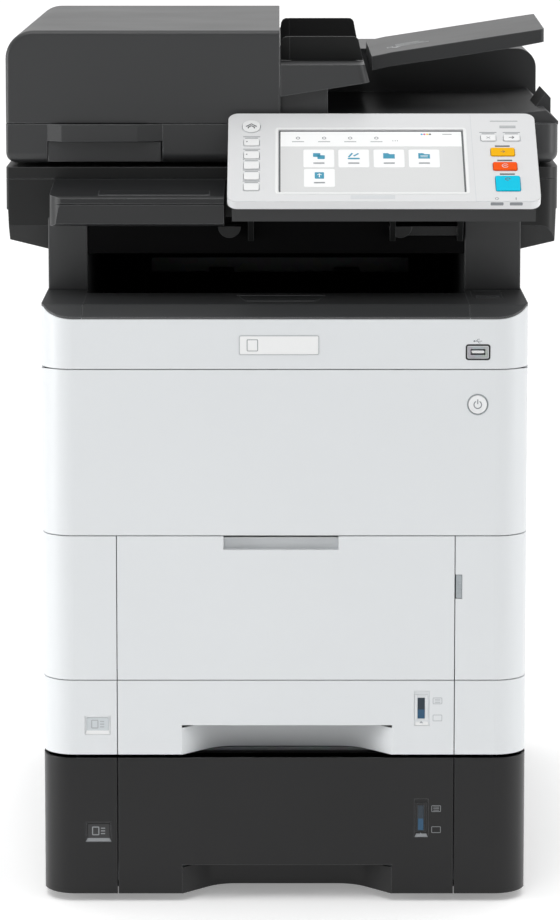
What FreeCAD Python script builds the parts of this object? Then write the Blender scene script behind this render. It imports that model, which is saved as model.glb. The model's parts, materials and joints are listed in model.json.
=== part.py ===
"""A4 multifunction photocopier on a one-drawer paper feeder, as separate sub-parts.

Millimetres. +X is the user's right, +Y goes from the front to the back, +Z is up.
The origin is the middle of the floor area under the machine.
"""
import FreeCAD, Part
import math
import os

V = FreeCAD.Vector

# Outer sizes
BODY_LEFT = -206.5
BODY_RIGHT = 210.5
FRONT = -288.0
BACK = 288.5
CORNER_R = 28.0          # vertical front corners of the body
REAR_CORNER_R = 8.0
UNIT_HALF = 242.5        # the scanner and document feeder overhang the body
UNIT_FRONT = -166.0
UNIT_RIGHT_R = 15.0      # the unit's right front corner; the left one is nearly sharp
UNIT_LEFT_R = 3.0
WALL = 2.5               # moulded covers
SHEET = 1.5              # frame sheet metal
SEAM = 0.35              # each cover stops this far short of a seam's middle
EDGE_R = 0.7             # outer edges of the white covers

# Levels above the floor
FOOT_TOP = 6.0
FEEDER_TOP = 127.5
BODY_BOTTOM = 129.7
CASSETTE_TOP = 195.4
PANEL_TOP = 321.5
COVER_TOP = 465.4
BAND_TOP = 508.3         # at the front face; the deck's slope starts here
SIDE_TOP = 517.0
DECK = 519.0
SCANNER_BOTTOM = 553.6
SCANNER_JOIN = 617.0
SCANNER_TOP = 627.1
ADF_BOTTOM = 630.6
ADF_SPLIT = 665.5
ADF_TOP = 747.0
TABLE = 717.0            # where originals are laid

# Vertical seams of the front and of the deck
SEAM_LEFT = -142.0
SEAM_RIGHT = 148.0
TRAY_LEFT = -171.0
TRAY_RIGHT = 160.0
WRAP_BACK = -262.0       # the front covers wrap round the corners as far as here
RIM_DEPTH = 17.5         # the deck's front edge slopes over this depth
RIM_LIP = 1.5            # upright edge below the slope
RIM_SLOPE = 0.5          # rise over run
PILLAR_FRONT = -144.5
TRAY_CREST = -192.0      # behind this line the output tray falls away

# Air slots
SLOTS = 14
SLOT_PITCH = 8.0
SLOT_WIDTH = 4.0

# Hinge lines: (Y, Z)
FRONT_COVER_AXIS = (-286.5, 326.5)
MP_TRAY_AXIS = (-286.5, 200.9)
REAR_COVER_AXIS = (286.5, 220.5)
ADF_AXIS = (282.5, 641.0)
ADF_BACK = 275.0
ADF_HINGES = (-170.0, 130.0)          # left side of each hinge
HINGE_PITCH = 34.0
GRIP_LEFT = -206.0       # finger recess in the document feeder's front
GRIP_RIGHT = -105.0
EAR = 6.0
PANEL_AXIS = (-196.0, 594.0)
STOPPER_AXIS = (-213.0, 516.5)
LEVER_AXIS = (-168.0, 516.5)

# Operation panel: it slopes back from its lower front edge
PANEL_LEFT = -47.0
PANEL_RIGHT = 220.0
PANEL_EDGE = (-279.0, 608.0)
PANEL_LENGTH = 124.5
PANEL_SLOPE = 32.5
PANEL_THICK = 8.0
PANEL_EARS = (-30.0, 94.0, 153.0)      # left side of each pivot ear
KEY_PROUD = 0.8
KEY_DEPTH = 4.0
KEY_GAP = 0.4
SCREEN = (-3.2, 157.0, 13.0, 101.0)   # left, right, bottom, top on the slope

# Keys on the slope: left, right, bottom, top
KEYS = {
    "home_key": (-34.6, -19.2, 97.0, 113.5),
    "log_out_key": (-33.1, -20.0, 77.8, 86.6),
    "status_key": (-33.1, -20.0, 59.4, 69.0),
    "box_key": (-33.1, -20.0, 45.0, 54.6),
    "program_key": (-33.1, -20.0, 30.0, 39.6),
    "energy_saver_key": (-33.1, -20.0, 15.2, 24.2),
    "clear_key": (172.2, 185.0, 84.6, 92.8),
    "enter_key": (191.9, 205.9, 84.6, 92.8),
    "reset_key": (180.0, 200.4, 63.4, 74.4),
    "stop_key": (181.2, 201.6, 43.2, 54.2),
    "start_key": (182.4, 203.2, 14.6, 35.0),
}
OVAL_KEYS = ("home_key",)

# Power button and USB socket on the front
BUTTON_CENTRE = (166.5, 435.3)
BUTTON_R = 8.0
USB_CENTRE = (166.5, 480.3)

# The two paper drawers: front bottom, front top, tray bottom, tray top, top of the handle opening
CASSETTES = {
    "cassette_1": (BODY_BOTTOM + SEAM, CASSETTE_TOP - SEAM, 134.0, 190.0, 156.0),
    "cassette_2": (7.0, FEEDER_TOP - SEAM, 12.0, 118.0, 32.6),
}
HANDLE_LEFT = -86.5
HANDLE_RIGHT = 94.5
SCOOP_DEPTH = 32.0       # the wall behind the fingers bends in at 45 degrees to this depth
SCOOP_BEND = 14.0        # length of the bend along each leg
SCOOP_DROP = 2.5         # top of that wall below the opening's edge
SIZE_WINDOWS = {"cassette_1": (-170.0, -148.0, 148.0, 164.0), "cassette_2": (-170.0, -147.5, 53.0, 70.5)}
LEVEL_GAUGES = {"cassette_1": (113.4, 126.7, 155.6, 186.0), "cassette_2": (114.0, 126.0, 57.0, 91.0)}
PAPER_HALF = 106.0       # A4 sheets lie with their short edge across the machine
END_GUIDE_Y = 52.0
LIFT_BACK = -41.0


def block(x0, x1, y0, y1, z0, z1):
    """Box between two corners."""
    return Part.makeBox(x1 - x0, y1 - y0, z1 - z0, V(x0, y0, z0))


def union(shapes):
    """One solid from overlapping or touching solids."""
    return shapes[0].fuse(shapes[1:]).removeSplitter()


def rod_x(x0, x1, y, z, radius):
    return Part.makeCylinder(radius, x1 - x0, V(x0, y, z), V(1, 0, 0))


def rod_y(y0, y1, x, z, radius):
    return Part.makeCylinder(radius, y1 - y0, V(x, y0, z), V(0, 1, 0))


def rod_z(z0, z1, x, y, radius):
    return Part.makeCylinder(radius, z1 - z0, V(x, y, z0), V(0, 0, 1))


def prism_x(points, x0, x1):
    """Outline of (y, z) points carried from x0 to x1."""
    ring = [V(x0, y, z) for y, z in points]
    return Part.Face(Part.makePolygon(ring + ring[:1])).extrude(V(x1 - x0, 0, 0))


def prism_y(points, y0, y1):
    """Outline of (x, z) points carried from y0 to y1."""
    ring = [V(x, y0, z) for x, z in points]
    return Part.Face(Part.makePolygon(ring + ring[:1])).extrude(V(0, y1 - y0, 0))


def prism_z(points, z0, z1):
    """Outline of (x, y) points carried from z0 to z1."""
    ring = [V(x, y, z0) for x, y in points]
    return Part.Face(Part.makePolygon(ring + ring[:1])).extrude(V(0, 0, z1 - z0))


def round_edges(shape, radius, chosen):
    """Fillet the straight edges whose (middle, direction) the test picks."""
    picked = []
    for edge in shape.Edges:
        if edge.Curve.TypeId == "Part::GeomLine":
            start, end = edge.Vertexes[0].Point, edge.Vertexes[-1].Point
            if chosen((start + end) * 0.5, (end - start).normalize()):
                picked.append(edge)
    return shape.makeFillet(radius, picked)


def body_outline(z, front, inset, front_r, rear_r):
    """Closed wire of the body's plan at one height, with rounded corners."""
    x0, x1 = BODY_LEFT + inset, BODY_RIGHT - inset
    y0, y1 = front + inset, BACK - inset
    corners = [(x0, y0, front_r, 180), (x1, y0, front_r, 270),
               (x1, y1, rear_r, 0), (x0, y1, rear_r, 90)]
    turns = []
    for x, y, radius, first in corners:
        centre = V(x + radius if x == x0 else x - radius, y + radius if y == y0 else y - radius, z)
        angles = [math.radians(first + step) for step in (0, 45, 90)]
        turns.append([centre + V(math.cos(t), math.sin(t), 0) * radius for t in angles])
    edges = []
    for this, following in zip(turns, turns[1:] + turns[:1]):
        edges.append(Part.Arc(this[0], this[1], this[2]).toShape())
        edges.append(Part.makeLine(this[2], following[0]))
    return Part.Wire(edges)


def body_slab(z0, z1, inset=0.0):
    """The body's full plan between two heights."""
    wire = body_outline(z0, FRONT, inset, CORNER_R - inset, REAR_CORNER_R - inset)
    return Part.Face(wire).extrude(V(0, 0, z1 - z0))


def body_shell(z0, z1):
    """The body's outer skin, one wall thick, between two heights."""
    return body_slab(z0, z1).cut(body_slab(z0 - 1, z1 + 1, WALL))


def front_skin(x0, x1, z0, z1):
    """The part of the skin that faces the user, wrapped round the corners."""
    return body_shell(z0, z1).common(block(x0, x1, FRONT - 1, WRAP_BACK - SEAM, z0, z1))


def under_deck(shape):
    """Cut a cover level with the underside of the deck, which slopes at the front."""
    bend = FRONT + (SIDE_TOP - BAND_TOP) / RIM_SLOPE
    above = [(FRONT - 2, BAND_TOP - 2 * RIM_SLOPE), (bend, SIDE_TOP), (300, SIDE_TOP), (300, 600),
             (FRONT - 2, 600)]
    return shape.cut(prism_x(above, -300, 300))


def deck_slab():
    """The deck under the scanner: a plate with a sloping front edge."""
    lift = SEAM * 1.2
    bend = FRONT + (SIDE_TOP - BAND_TOP) / RIM_SLOPE
    low, under = BAND_TOP + lift, SIDE_TOP + lift
    side = [(FRONT - 2, low - 2 * RIM_SLOPE), (bend, under), (300, under), (300, DECK),
            (FRONT + RIM_DEPTH, DECK), (FRONT, low + RIM_LIP), (FRONT - 2, low + RIM_LIP)]
    return body_slab(BAND_TOP - 2, DECK).common(prism_x(side, -300, 300))


def soften(cover):
    """Round the outer edges of a white cover, along its straight sides and round its corners."""
    picked = []
    for edge in cover.Edges:
        place = edge.valueAt((edge.FirstParameter + edge.LastParameter) / 2)
        if edge.Curve.TypeId == "Part::GeomCircle":
            outside = abs(edge.Curve.Radius - CORNER_R) < 0.01
        else:
            outside = min(abs(place.y - FRONT), abs(place.x - BODY_LEFT), abs(place.x - BODY_RIGHT)) < 0.01
        corner_start = min(abs(place.y - FRONT - CORNER_R), abs(place.x - BODY_LEFT - CORNER_R),
                           abs(place.x - BODY_RIGHT + CORNER_R)) < 0.01
        if outside and not corner_start:
            picked.append(edge)
    return cover.makeFillet(EDGE_R, picked)


def unit_plan(z0, z1, y1=None):
    """Plan of the scanner and document feeder, with the right front corner well rounded."""
    plan = block(-UNIT_HALF, UNIT_HALF, UNIT_FRONT, BACK if y1 is None else y1, z0, z1)
    plan = round_edges(plan, UNIT_RIGHT_R, lambda place, way: abs(way.z) > 0.99 and place.x > 0 > place.y)
    return round_edges(plan, UNIT_LEFT_R, lambda place, way: abs(way.z) > 0.99 and place.x < 0 and place.y < 0)


def trim_to_swing(shape, axis, reach):
    """Keep what lies within one radius of a hinge line along X."""
    return shape.common(rod_x(-300, 300, axis[0], axis[1], reach))


def on_slope(shape):
    """Place a shape drawn flat (Y up the slope, Z out of it) onto the operation panel."""
    shape.rotate(V(0, 0, 0), V(1, 0, 0), PANEL_SLOPE)
    shape.translate(V(0, PANEL_EDGE[0], PANEL_EDGE[1]))
    return shape


# Stand, frame and fixed covers

def feet():
    places = [(x, y) for x in (-165.0, 169.0) for y in (-235.0, 250.0)]
    return Part.makeCompound([rod_z(0, FOOT_TOP, x, y, 14.0) for x, y in places])


def feeder_frame():
    back_half = block(-300, 300, WRAP_BACK + SEAM, 300, FOOT_TOP, FEEDER_TOP)
    walls = body_shell(FOOT_TOP, FEEDER_TOP).common(back_half)
    floor = body_slab(FOOT_TOP, FOOT_TOP + 2).common(back_half)
    floor = floor.cut(block(HANDLE_LEFT - 4, HANDLE_RIGHT + 4, -270, -250, 0, 20))
    lid = body_slab(FEEDER_TOP - 2, FEEDER_TOP).common(back_half)
    rails = [block(x, x + SHEET, -255, 270, FOOT_TOP + 1, FEEDER_TOP - 1) for x in (-186.5, 189.0)]
    return union([walls, floor, lid] + rails)


def main_frame():
    left, right, near, far = -192.0, 196.0, -255.0, 271.0
    top = 500.0
    base = body_slab(FEEDER_TOP, FEEDER_TOP + 2).common(block(left, right, WRAP_BACK + SEAM, far, 0, 999))
    sides = [block(x, x + SHEET, near, far, FEEDER_TOP + 1, top) for x in (left, right - SHEET)]
    middle = block(left, right, near, far, 198.0, 198.0 + SHEET)
    rear = block(left, right, far - SHEET, far, FEEDER_TOP + 1, top)
    rear = rear.cut(block(-148, 148, far - 9, far + 9, 224, 478))
    rear = rear.cut(block(148, 182, far - 9, far + 9, 138, 176))
    feed_wall = block(left, right, near, near + SHEET, 198.0, PANEL_TOP)
    feed_wall = feed_wall.cut(block(-116, 116, near - 9, near + 9, 206, 226))
    return union([base, middle, rear, feed_wall] + sides)


def side_cover(x0, x1):
    """Side of the body, with a carrying grip at the bottom and air slots at the back."""
    skin = under_deck(body_shell(BODY_BOTTOM, DECK))
    skin = skin.common(block(x0, x1, WRAP_BACK + SEAM, 300, BODY_BOTTOM, DECK))
    skin = skin.cut(block(x0 - 9, x1 + 9, -60, 30, 150, 168))
    for number in range(SLOTS):
        y = 120 + SLOT_PITCH * number
        skin = skin.cut(block(x0 - 9, x1 + 9, y, y + SLOT_WIDTH, 400, 452))
    return skin


def rear_panel():
    panel = body_shell(BODY_BOTTOM, SIDE_TOP).common(block(-196.0, 200.0, 280, 300, BODY_BOTTOM, SIDE_TOP))
    for number in range(SLOTS):
        x = -75 + SLOT_PITCH * number
        panel = panel.cut(block(x, x + SLOT_WIDTH, 270, 300, 150, 190))
    panel = panel.cut(block(-150, 150, 270, 300, 215, 490))
    return panel.cut(block(150.5, 179.5, 270, 300, 145, 171))


def rear_cover():
    axis_y, axis_z = REAR_COVER_AXIS
    door = block(-149.4, 149.4, BACK - WALL, BACK, 215.6, 489.4)
    ribs = [block(x - 1, x + 1, BACK - 9, BACK - 1, 230, 478) for x in (-140, -70, 0, 70, 140)]
    door = union([door] + ribs)
    return trim_to_swing(door, REAR_COVER_AXIS, 489.4 - axis_z)


def upper_front_cover():
    band = soften(under_deck(front_skin(-300, 300, COVER_TOP + SEAM, DECK)))
    flange = body_slab(COVER_TOP + SEAM, COVER_TOP + 3, 1.0)
    flange = flange.common(block(-180, 184, FRONT, -272, 0, 999))
    x, z = USB_CENTRE
    opening = block(x - 8.4, x + 8.4, -300, -280, z - 4.7, z + 4.7)
    return union([band, flange]).cut(opening)


def usb_port():
    x, z = USB_CENTRE
    bezel = block(x - 8.2, x + 8.2, -287.0, -284.0, z - 4.5, z + 4.5)
    shell = block(x - 7.2, x + 7.2, -287.0, -268.0, z - 3.4, z + 3.4)
    cavity = block(x - 6.3, x + 6.3, -299.0, -272.0, z - 2.5, z + 2.5)
    return union([bezel, shell]).cut(cavity)


def front_panels():
    left = soften(front_skin(-300, SEAM_LEFT - SEAM, CASSETTE_TOP + SEAM, PANEL_TOP - SEAM))
    right = soften(front_skin(SEAM_RIGHT + SEAM, 300, CASSETTE_TOP + SEAM, PANEL_TOP - SEAM))
    notch = block(SEAM_RIGHT, 154.2, FRONT - 1, FRONT + 9, 266.8, 287.9)
    return Part.makeCompound([left, right.cut(notch)])


def inner_front_panel():
    plate = block(-203.0, 207.0, -258.5, -256.0, PANEL_TOP + 0.5, 503.0)
    for number in range(4):
        x0 = -160.0 + 80 * number
        plate = plate.cut(block(x0, x0 + 76, -270, -250, 400, 456))
    return plate


# Deck, scanner supports and exit

def upright(x0, x1, inner_x0, inner_x1):
    """Shoulder of the deck, the scanner support on it and the wall down beside the paper."""
    shoulder = deck_slab().common(block(x0, x1, -300, 300, 0, 999))
    pillar = block(max(x0, BODY_LEFT), min(x1, BODY_RIGHT), PILLAR_FRONT, BACK, DECK - 1.5, SCANNER_BOTTOM)
    pillar = round_edges(pillar, 3.0, lambda middle, way: abs(way.z) > 0.99)
    hollow = block(max(x0, BODY_LEFT) + 4, min(x1, BODY_RIGHT) - 4, PILLAR_FRONT + 4, BACK - 4, 0, 548)
    skirt = block(inner_x0, inner_x1, -255, 268, 440, DECK - 1)
    return union([union([shoulder, pillar]).cut(hollow), skirt])


def left_upright():
    return upright(-300, TRAY_LEFT, TRAY_LEFT - 3, TRAY_LEFT)


def right_upright():
    support = upright(TRAY_RIGHT, 300, TRAY_RIGHT, TRAY_RIGHT + 3)
    pocket = block(164.6, 191.4, -229.0, -163.5, 513.0, 530.0)
    return support.cut(pocket)


def output_tray():
    x0, x1 = TRAY_LEFT + SEAM, TRAY_RIGHT - SEAM
    bed = [(-282, 513.2), (FRONT + RIM_DEPTH, DECK), (TRAY_CREST, DECK), (100, 452), (119, 452),
           (119, 449), (98, 449), (-193, 515), (-205, 511), (-268, 511), (-280, 510.5)]
    rim = deck_slab().common(block(x0, x1, FRONT - 1, TRAY_CREST - 9, 0, 999))
    pocket = prism_z([(-31.5, -249.5), (29.5, -249.5), (37.6, -207.0), (-39.6, -207.0)], 513.5, 530)
    return union([prism_x(bed, x0, x1), rim]).cut(pocket)


def output_stopper():
    y, z = STOPPER_AXIS
    plate = prism_z([(-31.0, -249.0), (29.0, -249.0), (36.0, y), (-38.0, y)], DECK - 3, DECK)
    barrel = rod_x(-38.0, 36.0, y, z, 2.2)
    return union([plate, barrel])


def release_lever():
    y, z = LEVER_AXIS
    plate = block(165.0, 191.0, -228.6, y, DECK - 3.5, DECK)
    barrel = rod_x(165.0, 191.0, y, z, 2.4)
    return union([plate, barrel])


def exit_unit():
    x0, x1 = TRAY_LEFT + SEAM, TRAY_RIGHT - SEAM
    front = block(x0, x1, 120, 123, 440, SCANNER_BOTTOM)
    front = front.cut(block(-125, 121, 100, 140, 500, 514))
    rear = block(x0, x1, BACK - WALL, BACK, SIDE_TOP + SEAM, SCANNER_BOTTOM)
    top = block(x0, x1, 120, BACK, SCANNER_BOTTOM - 3, SCANNER_BOTTOM)
    return union([front, rear, top] + exit_column(-142.0, 1) + exit_column(142.0, -1))


def exit_column(x, inward):
    """Support beside the exit slot: a bracket, a neck, a leg with a rib and a sloping foot."""
    bracket = block(x - 15, x + 15, 56, 121, 545, SCANNER_BOTTOM)
    neck = block(x - 9, x + 9, 60, 121, 525, 547)
    leg = prism_y([(x - 10, 529), (x + 10, 529), (x + 12, 466), (x - 12, 466)], 62, 121)
    edge = x + inward * 12
    side = [(edge - inward * 8, 532), (edge, 532), (edge + inward * 4, 471), (edge - inward * 6, 471)]
    rib = prism_y(side, 54, 121)
    foot = prism_x([(32, 469), (64, 486), (121, 486), (121, 457), (100, 457)], x - 15, x + 15)
    return [bracket, neck, leg, rib, foot]


# Scanner

def scanner_base():
    """Tub with the platen's mechanism; its underside slopes down towards the body."""
    lower = UNIT_HALF - 1.3
    step = 590.0
    knee = 575.5
    top, floor = SCANNER_JOIN - SEAM, SCANNER_BOTTOM - 1
    outline = [(-UNIT_HALF, top), (-UNIT_HALF, step), (-lower, step - 0.5), (-lower + 1.2, 562.5),
               (BODY_LEFT, SCANNER_BOTTOM), (BODY_RIGHT, SCANNER_BOTTOM), (lower - 1.2, 561.0),
               (lower, step - 0.5), (UNIT_HALF, step), (UNIT_HALF, top)]
    side = [(UNIT_FRONT - 1, 620), (UNIT_FRONT - 1, knee), (UNIT_FRONT, knee), (UNIT_FRONT + 13, floor),
            (BACK + 1, floor), (BACK + 1, 620)]
    tub = prism_y(outline, UNIT_FRONT - 1, BACK + 1).common(unit_plan(540, 620))
    tub = tub.common(prism_x(side, -300, 300))
    tub = tub.cut(block(-222, 222, UNIT_FRONT + 4, BACK - 3, 580.0, 999))
    tub = tub.cut(block(-222, 222, UNIT_FRONT + 16, BACK - 3, 565.0, 999))
    ledges = [block(-222, 222, y, y + 8, 565.0, 578.0) for y in (-130.0, 150.0)]
    return union([tub] + ledges + panel_rests() + [panel_ear(x) for x in PANEL_EARS])


def panel_rests():
    """Tabs under the operation panel: two half discs, the right one with a plate beside it."""
    back = UNIT_FRONT + 1
    level = 577.0
    lower_half = block(-300, 300, -300, 0, 560, level)
    tabs = [rod_y(-188, back, x, level, 10.0).common(lower_half) for x in (-46.2, 103.4)]
    return tabs + [block(103.4, 156.0, -186, back, 569.0, level)]


def panel_ear(x):
    """Plate that reaches forward from the scanner and holds one of the operation panel's pivots."""
    y, z = PANEL_AXIS
    arm = [(UNIT_FRONT + 1, 588.0), (UNIT_FRONT + 1, 564.0), (-186, 564.0), (y - 6, z - 4), (y, z + 6)]
    ear = union([prism_x(arm, x, x + 5), rod_x(x, x + 5, y, z, 9.0)])
    return ear.cut(rod_x(x - 1, x + 6, y, z, 2.55))


def scanner_top_frame():
    frame = unit_plan(SCANNER_JOIN, SCANNER_TOP)
    frame = frame.cut(block(-188, 160, -98, 112, 600, 650))
    frame = frame.cut(block(-192, 164, -102, 116, 624.0, 650))
    frame = frame.cut(block(-214, -202, -98, 112, 600, 650))
    frame = frame.cut(block(-217, -199, -102, 116, 624.0, 650))
    y, z = ADF_AXIS
    ears = []
    for x in ADF_HINGES:
        for side in (0.0, HINGE_PITCH):
            ear = block(x + side, x + side + EAR, y - 6, BACK, SCANNER_TOP - 1, z + 5.5)
            ears.append(ear.cut(rod_x(x + side - 1, x + side + EAR + 1, y, z, 3.05)))
    return union([frame] + ears)


def platen_glass():
    return Part.makeCompound([block(-192, 164, -102, 116, 624.0, SCANNER_TOP),
                              block(-217, -199, -102, 116, 624.0, SCANNER_TOP)])


def scan_carriage():
    body = block(-216, -180, -125, 145, 578.5, 606.0)
    return body.cut(block(-210, -186, -110, 130, 590, 620))


def panel_shelf():
    """Small shelf beside the operation panel; a groove parts its lip from the box below it."""
    outline = [(UNIT_FRONT, 616.4), (-251.5, 609.6), (-254.5, 608.2), (-254.5, 603.6), (-252.5, 603.6),
               (-252.5, 602.8), (-254.0, 602.8), (-251.5, 586.0), (-248.0, 584.0), (UNIT_FRONT, 584.0)]
    plan = block(-200.0, -50.0, -256.0, UNIT_FRONT, 580, 620)
    plan = round_edges(plan, 17.0, lambda place, way: abs(way.z) > 0.99 and place.x < -190 and place.y < -200)
    shelf = prism_x(outline, -200.0, -50.0).common(plan)
    strip = prism_x([(-246.0, 610.6), (-225.0, 612.3), (-225.0, 611.0), (-246.0, 609.4)], -158.0, -62.5)
    return union([shelf, strip]).cut(block(-196, -54, -240, UNIT_FRONT - 3, 500, 600))


def power_inlet():
    """Appliance inlet with three blades in a recessed socket."""
    housing = block(151, 179, 264, BACK - 0.5, 145.5, 170.5)
    socket = block(153, 177, 272, 300, 150, 166)
    blades = [block(x - 1, x + 1, 270, 284, 156, 160) for x in (158.0, 165.0, 172.0)]
    return union([housing.cut(socket)] + blades)


# Parts inside

def toner_containers():
    bottles = []
    for number in range(4):
        x0 = -158.5 + 80 * number
        bottle = block(x0, x0 + 73, -263, 60, 402, 454)
        bottle = round_edges(bottle, 10.0, lambda middle, way: abs(way.y) > 0.99)
        grip = block(x0 + 22, x0 + 51, -270, -262, 420, 436)
        bottles.append(union([bottle, grip]))
    return Part.makeCompound(bottles)


def imaging_units():
    """Laser unit, four drum units and the transfer belt under them."""
    units = [block(-150, 150, -170, 110, 358, 394)]
    for number in range(4):
        y = -150.0 + 70 * number
        case = block(-152, 152, y, y + 56, 316, 352)
        drum = rod_x(-148, 148, y + 20, 312, 15.0)
        units.append(union([case, drum]))
    belt = block(-146, 146, -130, 90, 262, 290)
    ends = [rod_x(-146, 146, y, 276, 14.0) for y in (-130.0, 90.0)]
    units.append(union([belt] + ends))
    return Part.makeCompound(units)


def fuser_unit():
    case = block(-150, 150, 150, 218, 268, 336).cut(block(-140, 140, 140, 230, 280, 324))
    hot = rod_x(-138, 138, 184, 313.0, 13.0).common(block(-138, 138, 100, 300, 281, 323))
    soft = rod_x(-138, 138, 184, 290.5, 9.0)
    return Part.makeCompound([case, hot, soft])


# Doors and controls on the front

def front_cover():
    y, z = FRONT_COVER_AXIS
    top = COVER_TOP - SEAM
    skin = soften(front_skin(-300, 300, PANEL_TOP + SEAM, top))
    ribs = [block(x - 1, x + 1, FRONT + 1, -278, PANEL_TOP + 8, top - 6) for x in (-150, -75, 0, 75, 150)]
    cover = trim_to_swing(union([skin] + ribs), FRONT_COVER_AXIS, top - z + 0.1)
    x, z = BUTTON_CENTRE
    return cover.cut(rod_y(-300, -270, x, z, BUTTON_R + KEY_GAP))


def power_button():
    x, z = BUTTON_CENTRE
    return rod_y(FRONT - 0.5, -282, x, z, BUTTON_R)


def mp_tray():
    y, z = MP_TRAY_AXIS
    top = PANEL_TOP - SEAM
    plate = soften(block(SEAM_LEFT + SEAM, SEAM_RIGHT - SEAM, FRONT, FRONT + 3, CASSETTE_TOP + SEAM, top))
    liner = block(SEAM_LEFT + 6, SEAM_RIGHT - 6, FRONT + 2, FRONT + 11, CASSETTE_TOP + 6, top - 2)
    door = trim_to_swing(union([plate, liner]), MP_TRAY_AXIS, top - z + 0.1)
    grip = block(-50.4, 48.2, FRONT - 1, FRONT + 8, 309.4, 330)
    return door.cut(grip)


def mp_guide(side):
    """Paper guide on the bypass tray; side is -1 for the left one."""
    fence = block(-1.5, 1.5, FRONT + 11.5, FRONT + 22, 216, 296)
    foot = block(-14, 1.5, FRONT + 11.5, FRONT + 13.5, 216, 296)
    guide = union([fence, foot])
    if side > 0:
        guide = guide.mirror(V(0, 0, 0), V(1, 0, 0))
    guide.translate(V(side * (PAPER_HALF + 1.5), 0, 0))
    return guide


# Paper drawers

def scoop_sides(y):
    """Plan of the wall behind the fingers: for each side its end, bend start, bend middle and flat."""
    half = SCOOP_BEND / math.sqrt(2)
    turn = SCOOP_BEND / math.tan(math.radians(22.5))
    corners = (HANDLE_LEFT + SCOOP_DEPTH, HANDLE_RIGHT - SCOOP_DEPTH)
    deep = y + SCOOP_DEPTH
    sides = []
    for end, corner, side in ((HANDLE_LEFT, corners[0], 1), (HANDLE_RIGHT, corners[1], -1)):
        start = V(corner - side * half, deep - half, 0)
        flat = V(corner + side * SCOOP_BEND, deep, 0)
        centre = V(flat.x, deep - turn, 0)
        middle = centre + V(-side * math.sin(math.radians(22.5)), math.cos(math.radians(22.5)), 0) * turn
        sides.append([V(end, y, 0), start, middle, flat])
    return sides


def scoop_wall(z0, z1):
    """Wall that bends in behind the fingers."""
    thick = 3.0
    edges = []
    for shift in (0.0, thick):
        left, right = scoop_sides(FRONT + shift)
        edges.append(Part.makeLine(left[0], left[1]))
        edges.append(Part.Arc(left[1], left[2], left[3]).toShape())
        edges.append(Part.makeLine(left[3], right[3]))
        edges.append(Part.Arc(right[3], right[2], right[1]).toShape())
        edges.append(Part.makeLine(right[1], right[0]))
    for end in (HANDLE_LEFT, HANDLE_RIGHT):
        edges.append(Part.makeLine(V(end, FRONT, 0), V(end, FRONT + thick, 0)))
    outline = Part.Face(Part.Wire(Part.__sortEdges__(edges)))
    outline.translate(V(0, 0, z0))
    return outline.extrude(V(0, 0, z1 - z0))


def cassette_front(name):
    """Front of a drawer: a middle piece with the handle scoop, and two corner pieces."""
    z0, z1, tray_z0, tray_z1, lip = CASSETTES[name]
    left = soften(front_skin(-300, SEAM_LEFT - SEAM, z0, z1))
    right = soften(front_skin(SEAM_RIGHT + SEAM, 300, z0, z1))
    middle = soften(block(SEAM_LEFT + SEAM, SEAM_RIGHT - SEAM, FRONT, FRONT + WALL, z0, z1))
    middle = middle.cut(block(HANDLE_LEFT, HANDLE_RIGHT, FRONT - 9, FRONT + 9, z0 - 1, lip))
    window = SIZE_WINDOWS[name]
    left = left.cut(block(window[0], window[1], FRONT - 1, FRONT + 1, window[2], window[3]))
    gauge = LEVEL_GAUGES[name]
    middle = middle.cut(block(gauge[0], gauge[1], FRONT - 1, FRONT + 0.8, gauge[2], gauge[3]))
    slot = block(gauge[0] + 3, gauge[1] - 4, FRONT - 1, FRONT + 9, gauge[2] + 6, gauge[3] - 6)
    cheeks = [block(x0, x1, FRONT + 1, FRONT + 6, z0, z1 - 2) for x0, x1 in
              ((HANDLE_LEFT - 6, HANDLE_LEFT), (HANDLE_RIGHT, HANDLE_RIGHT + 6))]
    stays = [block(x, x + 3, FRONT + 1, -262, tray_z0 + 2, z1 - 6) for x in (-139.0, 142.0)]
    wall = scoop_wall(z0, lip - SCOOP_DROP)
    left_tie, right_tie = [block(x, x + 3, FRONT + 1.5, -262, tray_z0 + 2, z1 - 6) for x in (-176.0, 174.0)]
    middle = union([middle.cut(slot), wall] + cheeks + stays)
    return Part.makeCompound([union([left, left_tie]), middle, union([right, right_tie])])


def cassette_tray(name):
    """Tray for the paper; its front wall steps back behind the handle."""
    z0, z1 = CASSETTES[name][2:4]
    box = block(-183, 187, -262, 150, z0, z1)
    box = box.cut(block(-180, 184, -259, 147, z0 + 2, z1 + 1))
    step = block(HANDLE_LEFT - 3, HANDLE_RIGHT + 3, -263, -252, z0 - 1, z1 + 1)
    wall = block(HANDLE_LEFT - 6, HANDLE_RIGHT + 6, -252, -249.5, z0, z1)
    return union([box.cut(step), wall])


def cassette_guide(name, side):
    """Fence that stands against the paper's long edge; side is -1 for the left one."""
    z0, z1 = CASSETTES[name][2:4]
    fence = block(-2.5, 0, -200, 20, z0 + 2.4, z1 - 3)
    foot = block(-22, 0, -110, -70, z0 + 2.4, z0 + 5)
    guide = union([fence, foot])
    if side > 0:
        guide = guide.mirror(V(0, 0, 0), V(1, 0, 0))
    guide.translate(V(side * PAPER_HALF + 2, 0, 0))
    return guide


def cassette_end_guide(name):
    z0, z1 = CASSETTES[name][2:4]
    fence = block(-18, 22, END_GUIDE_Y, END_GUIDE_Y + 3, z0 + 2.4, z1 - 6)
    foot = block(-18, 22, END_GUIDE_Y, END_GUIDE_Y + 26, z0 + 2.4, z0 + 5)
    return union([fence, foot])


def cassette_lift_plate(name):
    z0 = CASSETTES[name][2]
    return block(-46, 50, -248.5, LIFT_BACK, z0 + 2.5, z0 + 3.7)


# Document feeder

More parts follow.
